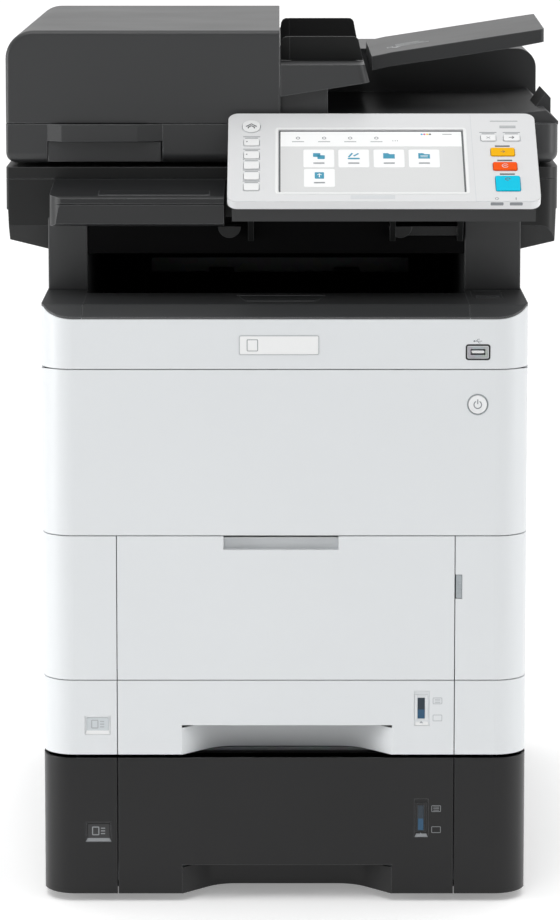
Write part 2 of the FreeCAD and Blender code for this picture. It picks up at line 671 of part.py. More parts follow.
def document_feeder():
    """Base with the sheet path, the eject tray and the rear wall below the document tray."""
    near, far, top = UNIT_FRONT, ADF_BACK, ADF_SPLIT - SEAM
    base = unit_plan(ADF_BOTTOM, top, far)
    underneath = ADF_BOTTOM + 1
    base = round_edges(base, 9.0, lambda place, way: abs(way.y) > 0.99 and place.x < 0 and place.z < underneath)
    room = block(-UNIT_HALF + 4, UNIT_HALF - 4, near + 24, far - 4, ADF_BOTTOM - 1, top - 3)
    bottom = block(-UNIT_HALF + 5, UNIT_HALF - 5, near + 25, far - 5, ADF_BOTTOM, ADF_BOTTOM + 3)
    grip = block(GRIP_LEFT, GRIP_RIGHT, near - 1, near + 18, ADF_BOTTOM - 1, ADF_SPLIT + 1)
    plan = [(GRIP_LEFT - 1, near + 10), (GRIP_LEFT - 1, near + 0.5), (-193.0, near - 6), (-127.0, near - 6),
            (GRIP_RIGHT + 1, near + 0.5), (GRIP_RIGHT + 1, near + 10)]
    bar = prism_z(plan, 650.0, ADF_SPLIT - SEAM)
    bar = round_edges(bar, 4.0, lambda place, way: abs(way.z) > 0.99 and place.y < near - 2)
    eject = [(40, top - 1), (40, 673.0), (200, 673.5), (232, 676.5), (UNIT_HALF, 667.0), (UNIT_HALF, top - 1)]
    eject = prism_y(eject, near + 8, 119)
    fin = prism_y([(222, 670), (234.5, 689), (239, 684), (239, 667)], -112, -30)
    table = [(-1.5, 689.1), (76.5, 701.4), (72.3, TABLE), (-1.5, TABLE)]
    table = prism_y(table, near, 119)
    table = round_edges(table, 8.0, lambda place, way: abs(way.z) > 0.9 and place.x > 60 and place.y < 0)
    leg = block(-1.5, 40.0, near + 7, 119, top - 1, 698.0)
    middle = union([table, leg]).cut(block(2, 36, near + 11, 115, 670, 689))
    middle = middle.cut(block(2, 68, near + 6, 115, 704, 713))
    wall = block(-1.5, 241.0, 118, far, top - 1, 714.0)
    wall = round_edges(wall, 18.0, lambda place, way: abs(way.y) > 0.99 and place.x > 200 and place.z > 700)
    wall = wall.cut(block(2, 218, 122, far - 4, 600, 708))
    path = block(-222, -10, -110, 120, top - 1, 690.0)
    rollers = [rod_y(-60, 60, x, 694.0, 11.0) for x in (-150.0, -90.0)]
    body = union([base.cut(room).cut(grip), bar, eject, fin, middle, wall, path] + rollers)
    y, z = ADF_AXIS
    hinges = []
    for x in ADF_HINGES:
        for side in (0.0, HINGE_PITCH):
            body = body.cut(block(x + side - 1, x + side + EAR + 1, far - 8, far + 8, 600, 658))
        knuckle = rod_x(x + EAR + KEY_GAP, x + HINGE_PITCH - KEY_GAP, y, z, 5.5)
        web = block(x + EAR + 1.5, x + HINGE_PITCH - 1.5, far - 9, y, z - 4, z + 4)
        pin = rod_x(x - 0.5, x + HINGE_PITCH + EAR + 0.5, y, z, 3.0)
        hinges.append(union([knuckle, web, pin]))
    body = union([body] + hinges)
    return Part.makeCompound([body, bottom])


def feeder_cover():
    shell = block(-UNIT_HALF, -2.5, UNIT_FRONT, ADF_BACK, ADF_SPLIT + SEAM, ADF_TOP)
    shell = round_edges(shell, 25.0, lambda place, way: abs(way.y) > 0.99 and place.x < -200 and place.z > 700)
    shell = round_edges(shell, 4.0, lambda place, way: abs(way.x) > 0.99 and place.z > 700)
    room = block(-237, -5.5, UNIT_FRONT + 3, ADF_BACK - 3, 600, ADF_TOP - 3)
    room = round_edges(room, 22.0, lambda place, way: abs(way.y) > 0.99 and place.x < -200 and place.z > 700)
    return shell.cut(room)


def document_tray():
    """Tray that continues the document table: level at first, then rising."""
    outline = [(79.5, 709.0), (96.5, 712.7), (150.0, 720.5), (210.0, 730.1), (238.5, 735.5),
               (238.5, 747.0), (97.0, 725.2), (88.0, 723.2), (79.5, 721.5)]
    slab = prism_y(outline, -120.0, 117.0)
    skew = prism_z([(232.0, -121.0), (238.5, 118.0), (250.0, 118.0), (250.0, -121.0)], 700, 760)
    slab = slab.cut(skew)
    return round_edges(slab, 4.0, lambda place, way: abs(way.x) < 0.3 and abs(way.z) > 0.9 and place.x > 200)


def document_guide(side):
    """Guide fence on the document table; side is -1 for the front one."""
    top = 738.5 if side < 0 else 743.5
    fence = prism_y([(0.5, TABLE + 0.4), (72.0, TABLE + 0.4), (67.0, top), (3.0, top)], -3, 0)
    fence = round_edges(fence, 5.0, lambda place, way: abs(way.y) > 0.99 and place.z > top - 1)
    foot = block(8.0, 66.0, -3, 14, TABLE + 0.4, TABLE + 2.5)
    guide = union([fence, foot])
    if side > 0:
        guide = guide.mirror(V(0, 0, 0), V(0, 1, 0))
    guide.translate(V(0, side * 105.0, 0))
    return guide


# Operation panel

def operation_panel():
    face = block(PANEL_LEFT, PANEL_RIGHT, 0, PANEL_LENGTH, -PANEL_THICK, 0)
    face = round_edges(face, 9.0, lambda middle, way: abs(way.z) > 0.99)
    face = face.cut(block(SCREEN[0], SCREEN[1], SCREEN[2], SCREEN[3], -1.5, 1))
    for name, place in KEYS.items():
        face = face.cut(key_solid(name, place, KEY_GAP, -PANEL_THICK + 1.5, 1))
    low, high = [slope_point(along, 1 - PANEL_THICK) for along in (6.0, PANEL_LENGTH - 12)]
    housing = prism_x([low, (-268, 590), (-183, 583.5), (-174, 600), high], PANEL_LEFT + 4, PANEL_RIGHT - 4)
    y, z = PANEL_AXIS
    pins = []
    for x in PANEL_EARS:
        housing = housing.cut(block(x - 0.6, x + 5.6, y - 15, UNIT_FRONT, 500, z + 14))
        pins.append(rod_x(x - 3, x + 8, y, z, 2.5))
    return union([on_slope(face), housing] + pins)


def slope_point(along, out):
    """(y, z) of a point so far up the panel's slope and so far out of it."""
    turn = math.radians(PANEL_SLOPE)
    y = PANEL_EDGE[0] + along * math.cos(turn) - out * math.sin(turn)
    z = PANEL_EDGE[1] + along * math.sin(turn) + out * math.cos(turn)
    return y, z


def key_solid(name, place, grow, z0, z1):
    left, right, low, high = place
    solid = block(left - grow, right + grow, low - grow, high + grow, z0, z1)
    radius = (right - left) / 2 - 0.6 if name in OVAL_KEYS else 1.5
    return round_edges(solid, radius + grow, lambda middle, way: abs(way.z) > 0.99)


def key(name):
    return on_slope(key_solid(name, KEYS[name], 0.0, -KEY_DEPTH, KEY_PROUD))


def main():
    nodes = {
        "feet": feet(),
        "feeder_frame": feeder_frame(),
        "main_frame": main_frame(),
        "left_side_cover": side_cover(-300, -196.5),
        "right_side_cover": side_cover(200.5, 300),
        "rear_panel": rear_panel(),
        "rear_cover": rear_cover(),
        "upper_front_cover": upper_front_cover(),
        "usb_port": usb_port(),
        "front_panels": front_panels(),
        "inner_front_panel": inner_front_panel(),
        "left_upright": left_upright(),
        "right_upright": right_upright(),
        "output_tray": output_tray(),
        "output_stopper": output_stopper(),
        "release_lever": release_lever(),
        "exit_unit": exit_unit(),
        "scanner_base": scanner_base(),
        "scanner_top_frame": scanner_top_frame(),
        "platen_glass": platen_glass(),
        "scan_carriage": scan_carriage(),
        "panel_shelf": panel_shelf(),
        "power_inlet": power_inlet(),
        "toner_containers": toner_containers(),
        "imaging_units": imaging_units(),
        "fuser_unit": fuser_unit(),
        "front_cover": front_cover(),
        "power_button": power_button(),
        "mp_tray": mp_tray(),
        "mp_guide_left": mp_guide(-1),
        "mp_guide_right": mp_guide(1),
        "document_feeder": document_feeder(),
        "feeder_cover": feeder_cover(),
        "document_tray": document_tray(),
        "document_guide_front": document_guide(-1),
        "document_guide_rear": document_guide(1),
        "operation_panel": operation_panel(),
    }
    for name in CASSETTES:
        nodes[name + "_tray"] = cassette_tray(name)
        nodes[name + "_front"] = cassette_front(name)
        nodes[name + "_guide_left"] = cassette_guide(name, -1)
        nodes[name + "_guide_right"] = cassette_guide(name, 1)
        nodes[name + "_end_guide"] = cassette_end_guide(name)
        nodes[name + "_lift_plate"] = cassette_lift_plate(name)
    for name in KEYS:
        nodes[name] = key(name)
    os.makedirs("parts", exist_ok=True)
    for name, shape in nodes.items():
        shape.exportStep(os.path.join("parts", name + ".step"))


main()
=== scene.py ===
"""Finishes and fine pieces of the photocopier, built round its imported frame.

Lengths are in millimetres unless a name or comment says otherwise. flat_face() turns them into
metres; the origins given to it are in metres already.
"""
import bmesh
import bpy
import json
import math
import numpy as np
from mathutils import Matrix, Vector


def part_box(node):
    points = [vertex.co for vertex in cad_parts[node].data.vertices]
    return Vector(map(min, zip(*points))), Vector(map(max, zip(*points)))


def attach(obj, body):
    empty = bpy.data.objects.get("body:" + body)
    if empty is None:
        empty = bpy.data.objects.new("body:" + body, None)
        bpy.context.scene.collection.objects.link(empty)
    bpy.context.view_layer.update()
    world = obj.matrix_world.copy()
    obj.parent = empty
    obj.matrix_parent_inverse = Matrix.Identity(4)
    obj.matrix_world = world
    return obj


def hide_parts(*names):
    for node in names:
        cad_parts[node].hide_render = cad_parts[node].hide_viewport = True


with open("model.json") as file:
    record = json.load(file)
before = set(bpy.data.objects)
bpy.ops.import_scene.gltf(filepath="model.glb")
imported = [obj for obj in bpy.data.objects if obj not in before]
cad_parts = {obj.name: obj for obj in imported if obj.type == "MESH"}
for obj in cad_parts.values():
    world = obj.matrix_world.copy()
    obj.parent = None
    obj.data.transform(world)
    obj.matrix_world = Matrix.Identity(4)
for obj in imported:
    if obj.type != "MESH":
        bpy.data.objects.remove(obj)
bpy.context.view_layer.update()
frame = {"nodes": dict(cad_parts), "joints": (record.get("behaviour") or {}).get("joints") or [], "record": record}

MM = 0.001                      # metres
NODES = frame["nodes"]
JOINTS = {joint["name"]: joint for joint in frame["joints"]}
ABS_IOR = 1.54
RUBBER_IOR = 1.52
GLASS_IOR = 1.52
POLYESTER_IOR = 1.57
GRAIN_HEIGHT = 0.0002           # metres
BEVEL_SAMPLES = 4
SHARP_ANGLE = math.radians(38)  # faces that meet at more than this keep a hard edge
WELD = 1e-7                     # metres within which points of a piece are one point
EDGE_HIGHLIGHT_TONE = "#9c9ea0"           # painted highlight tone along the edges of dark ABS
DUST_TONE = "#3a3a39"           # of the bloom on rubber
INK = 0.07                      # how high a printed line stands, so that it doesn't sink into its face


# --- Materials -------------------------------------------------------------------------------

def linear(hex_colour):
    """sRGB hex to linear RGBA."""
    values = [int(hex_colour[i:i + 2], 16) / 255 for i in (1, 3, 5)]
    return [v / 12.92 if v <= 0.04045 else ((v + 0.055) / 1.055) ** 2.4 for v in values] + [1.0]


def node(tree, kind, settings=None, **links):
    """Add a shader node, set its sockets or attributes, and link outputs into it."""
    made = tree.nodes.new(kind)
    for key, value in (settings or {}).items():
        if isinstance(key, int) or key in made.inputs:
            made.inputs[key].default_value = value
        else:
            setattr(made, key, value)
    for key, source in links.items():
        name = key.replace("_", " ")
        socket = made.inputs[name] if name in made.inputs else made.inputs[int(key[1:])]
        tree.links.new(source, socket)
    return made


def new_material(name):
    """Empty material; returns it, its node tree and its object coordinates."""
    material = bpy.data.materials.new(name)
    material.use_nodes = True
    tree = material.node_tree
    tree.nodes.clear()
    return material, tree, node(tree, "ShaderNodeTexCoord").outputs["Object"]


def shade(tree, settings=None, **links):
    """Surface shader with these settings and links, joined to the material's output."""
    shader = node(tree, "ShaderNodeBsdfPrincipled", settings, **links)
    node(tree, "ShaderNodeOutputMaterial", Surface=shader.outputs["BSDF"])


def noise(tree, place, scale, detail=2.0):
    """Noise with about scale patches to the metre."""
    return node(tree, "ShaderNodeTexNoise", {"Scale": scale, "Detail": detail}, Vector=place).outputs["Fac"]


def spread(tree, value, low, high, start=0.0, end=1.0):
    """A value from start to end, mapped to low to high."""
    ends = {"From Min": start, "From Max": end, "To Min": low, "To Max": high}
    return node(tree, "ShaderNodeMapRange", ends, Value=value).outputs["Result"]


def bump(tree, height, strength, distance=GRAIN_HEIGHT, **links):
    """Normal tilted by a height of up to distance, in metres."""
    return node(tree, "ShaderNodeBump", {"Strength": strength, "Distance": distance}, Height=height,
                **links).outputs["Normal"]


def softened(tree, radius):
    """Normal that turns smoothly over radius mm at each edge."""
    return node(tree, "ShaderNodeBevel", {"Radius": radius * MM, "samples": BEVEL_SAMPLES}).outputs["Normal"]


def clouded(tree, place, colour, shift, size):
    """Colour that drifts by shift over patches size mm across; returns the colour and the patches."""
    patches = noise(tree, place, 1 / (size * MM), 3.0)
    dimmed = {"Color1": linear(colour), "Color2": [1 - 2 * shift] * 3 + [1], "blend_type": "MULTIPLY"}
    return node(tree, "ShaderNodeMixRGB", dimmed, Fac=patches).outputs["Color"], patches


def painted_edge_highlight(tree, tone, soft, edge_glint):
    """Painted highlight: paler colour where the softened normal leaves the face's own, only along edges."""
    flat = node(tree, "ShaderNodeNewGeometry").outputs["Normal"]
    bend = node(tree, "ShaderNodeVectorMath", {"operation": "DOT_PRODUCT"}, _0=soft, _1=flat)
    glint_amount = spread(tree, bend.outputs["Value"], 0.0, edge_glint, 0.99, 0.86)
    paler = node(tree, "ShaderNodeMixRGB", {"Color2": linear(EDGE_HIGHLIGHT_TONE)}, Fac=glint_amount, Color1=tone)
    return paler.outputs["Color"]


def moulded_abs(name, colour, roughness=0.42, grain=0.7, depth=0.05, shift=0.03, edge=0.5, gloss=0.5,
                edge_glint=0.0):
    """Injection-moulded ABS from a spark-eroded tool.

    The eye sees a fine even grain, grain mm across, that breaks up highlights, and a gloss that
    wanders a little over each panel. Real grain is near 0.2 mm; it is drawn coarser so that it
    shows. Edges are softened over edge mm, as the tool leaves them, and the last argument is how
    much paler they are painted there, as a painted highlight.
    """
    material, tree, place = new_material(name)
    tone, patches = clouded(tree, place, colour, shift, 110)
    soft = softened(tree, edge)
    # paint a paler highlight along the edges
    if edge_glint:
        tone = painted_edge_highlight(tree, tone, soft, edge_glint)
    shade(tree, {"IOR": ABS_IOR, "Specular IOR Level": gloss}, Base_Color=tone,
          Roughness=spread(tree, patches, roughness - 0.05, roughness + 0.07),
          Normal=bump(tree, noise(tree, place, 1 / (grain * MM)), depth, Normal=soft))
    return material


def textured_abs(name, colour, roughness, depth=0.10, edge=1.0, gloss=0.5, edge_glint=0.45):
    """Dark moulded ABS with a deeper grain, painted paler along its edges as a highlight."""
    return moulded_abs(name + "_textured_abs", colour, roughness, depth=depth, edge=edge, gloss=gloss,
                       edge_glint=edge_glint)


def key_abs(name, colour):
    """Coloured ABS of a key cap, moulded nearly matt so that the eye sees its full colour."""
    return moulded_abs(f"key_{name}_moulded_abs", colour, roughness=0.5, edge=0.4, gloss=0.08)


def two_shot_abs(name, face_colour, back_colour, normal, level):
    """Panel with a light face shell on a dark back shell, parted at one level along the normal (m).

    The eye sees one clean parting line between the two mouldings, each with its own gloss.
    """
    material, tree, place = new_material(name)
    face = clouded(tree, place, face_colour, 0.015, 90)[0]
    back_shell = clouded(tree, place, back_colour, 0.04, 90)[0]
    height = node(tree, "ShaderNodeVectorMath", {"operation": "DOT_PRODUCT", 1: normal}, _0=place)
    on_face = node(tree, "ShaderNodeMath", {"operation": "GREATER_THAN", 1: level},
                   _0=height.outputs["Value"]).outputs["Value"]
    tone = node(tree, "ShaderNodeMixRGB", Fac=on_face, Color1=back_shell, Color2=face)
    shade(tree, {"IOR": ABS_IOR}, Base_Color=tone.outputs["Color"],
          Roughness=spread(tree, on_face, 0.46, 0.34),
          Normal=bump(tree, noise(tree, place, 1500.0), 0.05, Normal=softened(tree, 0.9)))
    return material


def zinc_sheet(name, colour="#a8abad"):
    """Zinc-plated sheet steel, rolled then folded.

    The eye sees a soft metal sheen with faint crystal patches about 9 mm across and rolling lines.
    """
    material, tree, place = new_material(name)
    crystals = node(tree, "ShaderNodeTexVoronoi", {"Scale": 110.0}, Vector=place)
    rolled = node(tree, "ShaderNodeMapping", {"Scale": (40.0, 40.0, 1800.0)}, Vector=place)
    lines = noise(tree, rolled.outputs["Vector"], 1.0)
    tone = node(tree, "ShaderNodeMixRGB", {"Color1": linear(colour), "blend_type": "MULTIPLY", "Fac": 0.12},
                Color2=crystals.outputs["Color"])
    shade(tree, {"Metallic": 1.0}, Base_Color=tone.outputs["Color"], Roughness=spread(tree, lines, 0.3, 0.46))
    return material


def brushed_aluminium(name, colour="#c3c6c9"):
    """Brushed and clear-anodised aluminium: fine lines along X, 0.3 mm apart, stretch each highlight."""
    material, tree, place = new_material(name)
    brushed = node(tree, "ShaderNodeMapping", {"Scale": (30.0, 3300.0, 3300.0)}, Vector=place)
    lines = noise(tree, brushed.outputs["Vector"], 1.0, 3.0)
    shade(tree, {"Metallic": 1.0}, Base_Color=clouded(tree, place, colour, 0.04, 30)[0],
          Roughness=spread(tree, lines, 0.26, 0.42), Normal=bump(tree, lines, 0.08, 0.0001))
    return material


def cured_rubber(name, colour="#191919"):
    """Moulded rubber: matt, with a faint dusty bloom in patches and a 0.5 mm sandy grain."""
    material, tree, place = new_material(name)
    bloom = spread(tree, noise(tree, place, 60.0, 4.0), 0.0, 0.45)
    tone = node(tree, "ShaderNodeMixRGB", {"Color1": linear(colour), "Color2": linear(DUST_TONE)}, Fac=bloom)
    shade(tree, {"IOR": RUBBER_IOR, "Roughness": 0.82}, Base_Color=tone.outputs["Color"],
          Normal=bump(tree, noise(tree, place, 2000.0), 0.2))
    return material


def float_glass(name):
    """Ground-edge float glass: clear with a green cast, and faint wiping marks in its gloss."""
    material, tree, place = new_material(name)
    wipes = spread(tree, noise(tree, place, 14.0, 5.0), 0.01, 0.07)
    shade(tree, {"IOR": GLASS_IOR, "Transmission Weight": 0.85}, Roughness=wipes,
          Base_Color=clouded(tree, place, "#d5ebe3", 0.02, 200)[0])
    return material


def printed_film(name, colour, roughness=0.28, glow=0.0):
    """Printed polyester film or ink: flat and even, with a faint screen-print mottle 0.4 mm wide."""
    material, tree, place = new_material(name)
    mottle = noise(tree, place, 2500.0, 1.0)
    tone = clouded(tree, place, colour, 0.01, 60)[0]
    shade(tree, {"IOR": POLYESTER_IOR, "Emission Strength": glow}, Base_Color=tone, Emission_Color=tone,
          Roughness=spread(tree, mottle, roughness - 0.03, roughness + 0.05))
    return material


def finish_node(name, material):
    """Give a CAD node its material in every slot."""
    mesh = NODES[name].data
    if not mesh.materials:
        mesh.materials.append(material)
    for index in range(len(mesh.materials)):
        mesh.materials[index] = material


# --- Faces of the machine --------------------------------------------------------------------

def flat_face(origin, across, up):
    """Flat face in space: returns at(a, b, h), which takes mm across it, up it and out of it to metres."""
    origin, across, up = (np.array(v, float) for v in (origin, across, up))
    out = np.cross(across, up)

    def at(a, b, h):
        a, b, h = (np.asarray(v, float)[..., None] for v in np.broadcast_arrays(a, b, h))
        return origin + MM * (a * across + b * up + h * out)
    return at


def wall(y):
    """Upright face at y, looking to the front: a is X and b is Z."""
    return flat_face((0, y * MM, 0), (1, 0, 0), (0, 0, 1))


def table(z):
    """Level face at z, looking up: a is X and b is Y."""
    return flat_face((0, 0, z * MM), (1, 0, 0), (0, 1, 0))


def lift(at, rise):
    """The same flat face, raised by so many mm."""
    return lambda a, b, h: at(a, b, np.asarray(h) + rise)


def box_mm(name):
    """Lowest and highest corner of a CAD node in millimetres."""
    return np.array(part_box(name)) / MM


# The panel's sloping face: the keys travel square to it, and its origin is its lower front edge.
key_axis = np.array(JOINTS["home_key_press"]["axis"], float)
SLOPE_OUT = -key_axis / np.linalg.norm(key_axis)
SLOPE_UP = np.array([0.0, SLOPE_OUT[2], -SLOPE_OUT[1]])
panel_points = np.array([v.co[:] for v in NODES["operation_panel"].data.vertices])
SLOPE_LEVEL = (panel_points @ SLOPE_OUT).max()
front_edge = panel_points[:, 1].min()
SLOPE_ORIGIN = (0.0, front_edge, (SLOPE_LEVEL - SLOPE_OUT[1] * front_edge) / SLOPE_OUT[2])

slope = flat_face(SLOPE_ORIGIN, (1, 0, 0), SLOPE_UP)
panel_lip = flat_face(SLOPE_ORIGIN, (1, 0, 0), SLOPE_OUT)      # the panel's lower edge face
front = flat_face((0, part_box("cassette_1_front")[0][1], 0), (1, 0, 0), (0, 0, 1))
back = flat_face((0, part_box("rear_panel")[1][1], 0), (-1, 0, 0), (0, 0, 1))


# --- Shapes ----------------------------------------------------------------------------------

def band(grid, ends=True):
    """Points and faces of rings joined one to the next: row r, column c meets the row after it."""
    rows, cols = grid.shape[:2]
    index = np.arange(rows * cols).reshape(rows, cols)
    beside = np.roll(index, -1, axis=1)
    faces = np.stack([index[:-1], beside[:-1], beside[1:], index[1:]], -1).reshape(-1, 4).tolist()
    if ends:
        faces += [index[0, ::-1].tolist(), index[-1].tolist()]
    return grid.reshape(-1, 3), faces


def rounded(left, right, low, high, radius, steps=6):
    """Rounded rectangle, anticlockwise: a quarter circle round each corner's centre."""
    turn = np.linspace(0, np.pi / 2, steps)
    corners = ((right - radius, low + radius, -1), (right - radius, high - radius, 0),
               (left + radius, high - radius, 1), (left + radius, low + radius, 2))
    return np.concatenate([np.stack([a + radius * np.cos(turn + quarter * np.pi / 2),
                                     b + radius * np.sin(turn + quarter * np.pi / 2)], 1)
                           for a, b, quarter in corners])


def circle(a, b, radius, steps=32, start=0.0, sweep=360.0):
    """Points at equal angles on a circle about (a, b); angles in degrees."""
    turn = np.radians(start + np.linspace(0, sweep, steps, endpoint=sweep < 360))
    return np.stack([a + radius * np.cos(turn), b + radius * np.sin(turn)], 1)


def soft_edge(base, top, radius, steps=4):
    """Profile (inset, height): up from base, in through a quarter circle at the top, then a little level.

    The last inset is less than the outline's corner radius, or the rings would cross at the corners.
    """
    turn = np.linspace(0, np.pi / 2, steps)
    arc = zip(radius * (1 - np.cos(turn)), top - radius * (1 - np.sin(turn)))
    return [(0.0, base), *arc, (1.1 * radius, top)]


def tile(outline, profile, at):
    """Raised shape: the outline moved in by each inset and lifted to each height, ring by ring."""
    ring = np.asarray(outline, float)
    way = np.roll(ring, -1, 0) - np.roll(ring, 1, 0)
    inward = np.stack([-way[:, 1], way[:, 0]], 1)
    inward /= np.linalg.norm(inward, axis=1, keepdims=True)
    inset, height = np.array(profile, float).T
    moved = ring[None] + inset[:, None, None] * inward[None]
    return band(at(moved[..., 0], moved[..., 1], height[:, None]))


def slab(area, corner, base, top, soft, at):
    """Rounded rectangle over area (left, right, bottom, top), from base to top, its upper edge soft."""
    return tile(rounded(*area, corner), soft_edge(base, top, soft), at)


def disc(a, b, radius, steps, base, top, soft, at):
    """Round shape about (a, b), from base to top, its upper edge soft."""
    return tile(circle(a, b, radius, steps), soft_edge(base, top, soft), at)


def grown(area, by):
    """An area (left, right, bottom, top) made larger on every side."""
    left, right, low, high = area
    return left - by, right + by, low - by, high + by


def stroke(path, width, height, at, loop=False, base=-0.05):
    """Raised line: a low section with a crowned top carried along a path, square to it."""
    path = np.asarray(path, float)
    way = np.roll(path, -1, 0) - np.roll(path, 1, 0) if loop else np.gradient(path, axis=0)
    side = np.stack([way[:, 1], -way[:, 0]], 1)
    side /= np.linalg.norm(side, axis=1, keepdims=True)
    section = np.array([(-0.5, base), (-0.5, 0.5 * height), (-0.3, height),
                        (0.3, height), (0.5, 0.5 * height), (0.5, base)])
    spots = path[:, None] + side[:, None] * section[None, :, :1] * width
    grid = at(spots[..., 0], spots[..., 1], section[None, :, 1])
    if loop:
        grid = np.concatenate([grid, grid[:1]])
    return band(grid, ends=not loop)


def bar(start, end, b, width, height, at, base=-0.05):
    """Straight raised line across a face, from a = start to a = end."""
    return stroke([(start, b), (end, b)], width, height, at, base=base)


def turned(profile, a, b, at, steps=32):
    """Turned part: each (radius, height) of the profile swept once round the axis through (a, b)."""
    turn = np.linspace(0, 2 * np.pi, steps, endpoint=False)
    radius, height = np.array(profile, float).T
    grid = at(a + radius[:, None] * np.cos(turn), b + radius[:, None] * np.sin(turn), height[:, None])
    return band(grid)


def sill(left, right, low, high, inset, depth, at):
    """Sloping ledge: its upper edge is inset at both ends and sunk by depth, on a 1 mm thick slab."""
    across = np.array([[left, right, right - inset, left + inset]] * 2)
    up = np.array([[low, low, high, high]] * 2)
    out = np.array([[-1.0, -1.0, -1.0 - depth, -1.0 - depth], [0.0, 0.0, -depth, -depth]])
    return band(at(across, up, out))


def piece(name, body, material, *parts, slot=None):
    """Object made of closed parts, riding on a body and finished in a material."""
    points, faces, start = [], [], 0
    for part_points, part_faces in parts:
        points.append(part_points)
        faces += [[start + corner for corner in face] for face in part_faces]
        start += len(part_points)
    mesh = bpy.data.meshes.new(name)
    mesh.from_pydata(np.concatenate(points).tolist(), [], faces)
    work = bmesh.new()
    work.from_mesh(mesh)
    bmesh.ops.remove_doubles(work, verts=work.verts, dist=WELD)
    bmesh.ops.recalc_face_normals(work, faces=work.faces)
    work.to_mesh(mesh)
    work.free()
    mesh.shade_smooth()
    mesh.set_sharp_from_angle(angle=SHARP_ANGLE)
    mesh.materials.append(material)
    made = bpy.data.objects.new(name, mesh)
    bpy.context.scene.collection.objects.link(made)
    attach(made, body)
    return made


# --- Finishes --------------------------------------------------------------------------------

white_cover = moulded_abs("white_moulded_abs", "#e4e7e9", shift=0.012, roughness=0.34)
# The dark textured finishes below are painted paler along their edges as a highlight.
charcoal = textured_abs("charcoal", "#333435", 0.4, depth=0.12)
base_charcoal = textured_abs("dark_charcoal", "#191a1a", 0.42, depth=0.12, edge=0.9, gloss=0.35, edge_glint=0.3)
# Darker than the feeder's charcoal: painted shade under the feeder's overhang on the panel shelf.
shelf_painted_shade = textured_abs("shelf", "#252627", 0.38, gloss=0.35)
upright_charcoal = textured_abs("upright", "#3b3c3d", 0.4)
# Darker than the front guide's charcoal: painted shade on the rear document guide, where the feeder shades it.
rear_guide_painted_shade = textured_abs("rear_guide_painted_shade", "#0e0e0f", 0.42, edge_glint=0.3)
drawer_black = textured_abs("black", "#131314", 0.34, edge=0.8, gloss=0.34, edge_glint=0.3)
tray_grey = textured_abs("tray_grey", "#313233", 0.4, gloss=0.35)
rim_charcoal = textured_abs("rim", "#3a3b3c", 0.38)
inner_grey = moulded_abs("inner_grey_moulded_abs", "#7d8083", roughness=0.5)
# Near-black, darker than the drawers' black: the dark plastic of the parts deep inside, darkened further as
# painted shade, and the colour of the panel painted as the bay's shade.
inner_black_and_shade = moulded_abs("inner_black_and_painted_shade", "#0a0a0b", roughness=0.6, gloss=0.08)
toner_body = moulded_abs("toner_container_polystyrene", "#2a2b2d", roughness=0.38)
panel_shell = two_shot_abs("panel_two_part_moulded_abs", "#e4e5e6", "#232425",
                           tuple(SLOPE_OUT), SLOPE_LEVEL - 8.05 * MM)
key_white = moulded_abs("key_white_moulded_abs", "#f6f7f7", roughness=0.32, edge=0.4)
key_yellow = key_abs("yellow", "#ffbe00")
key_orange = key_abs("orange", "#ff5a00")
key_cyan = key_abs("cyan", "#00cdee")
button_white = moulded_abs("power_button_polished_abs", "#f3f4f5", roughness=0.22, depth=0.01)
steel = zinc_sheet("zinc_plated_sheet_steel")
port_steel = zinc_sheet("nickel_plated_port_shell", "#c2c3c4")
rubber = cured_rubber("moulded_rubber")
glass = float_glass("platen_float_glass")

FINISH = {
    "body_white": white_cover, "charcoal": charcoal, "feeder_black": drawer_black, "inner_grey": inner_grey,
    "frame_steel": steel, "rubber": rubber, "platen_glass": glass, "panel_white": panel_shell,
    "key_grey": key_white, "key_yellow": key_yellow, "key_orange": key_orange, "key_cyan": key_cyan,
    "button_white": button_white, "toner_plastic": toner_body,
}
OWN_FINISH = {
    "document_tray": tray_grey, "usb_port": port_steel, "scan_carriage": inner_black_and_shade,
    "imaging_units": inner_black_and_shade, "exit_unit": inner_black_and_shade, "output_tray": rim_charcoal,
    "scanner_base": base_charcoal, "scanner_top_frame": base_charcoal, "panel_shelf": shelf_painted_shade,
    "document_guide_rear": rear_guide_painted_shade, "document_guide_front": base_charcoal,
    "left_upright": upright_charcoal, "right_upright": upright_charcoal,
    "output_stopper": rim_charcoal, "release_lever": rim_charcoal,
}
for part in frame["record"]["subparts"]:
    finish_node(part["node"], OWN_FINISH.get(part["node"], FINISH[part["material_slot"]]))

ink_grey = printed_film("grey_printed_ink", "#85898d")
ink_dark = printed_film("dark_printed_ink", "#4b4e52")
pale_ink = printed_film("pale_printed_ink", "#d7dadc")
faint_ink = printed_film("faint_grey_printed_ink", "#a9adb1")
dim_ink = printed_film("dim_light_printed_ink", "#8d9093")
screen_white = printed_film("screen_light_area", "#f3f4f4", 0.2, 0.12)
screen_grey = printed_film("screen_grey_area", "#d5d6d6", 0.2, 0.10)
screen_teal = printed_film("screen_teal_symbol", "#0b8cab", 0.3, 0.15)
screen_edge = printed_film("screen_black_border", "#5b5e61", 0.25)
# The gauge window glows though it is no lamp: painted light that brightens it.
gauge_blue = printed_film("gauge_blue_window", "#0a4a6c", 0.3, 0.08)
# Navy over the upper part of each gauge window: painted shade.
gauge_navy = printed_film("gauge_navy_shade", "#062333", 0.3)
window_clear = printed_film("size_window_polycarbonate", "#cfd5d8", 0.12)
grip_grey = moulded_abs("grip_grey_moulded_abs", "#a9b0b4", roughness=0.4)
aluminium = brushed_aluminium("brushed_anodised_aluminium")
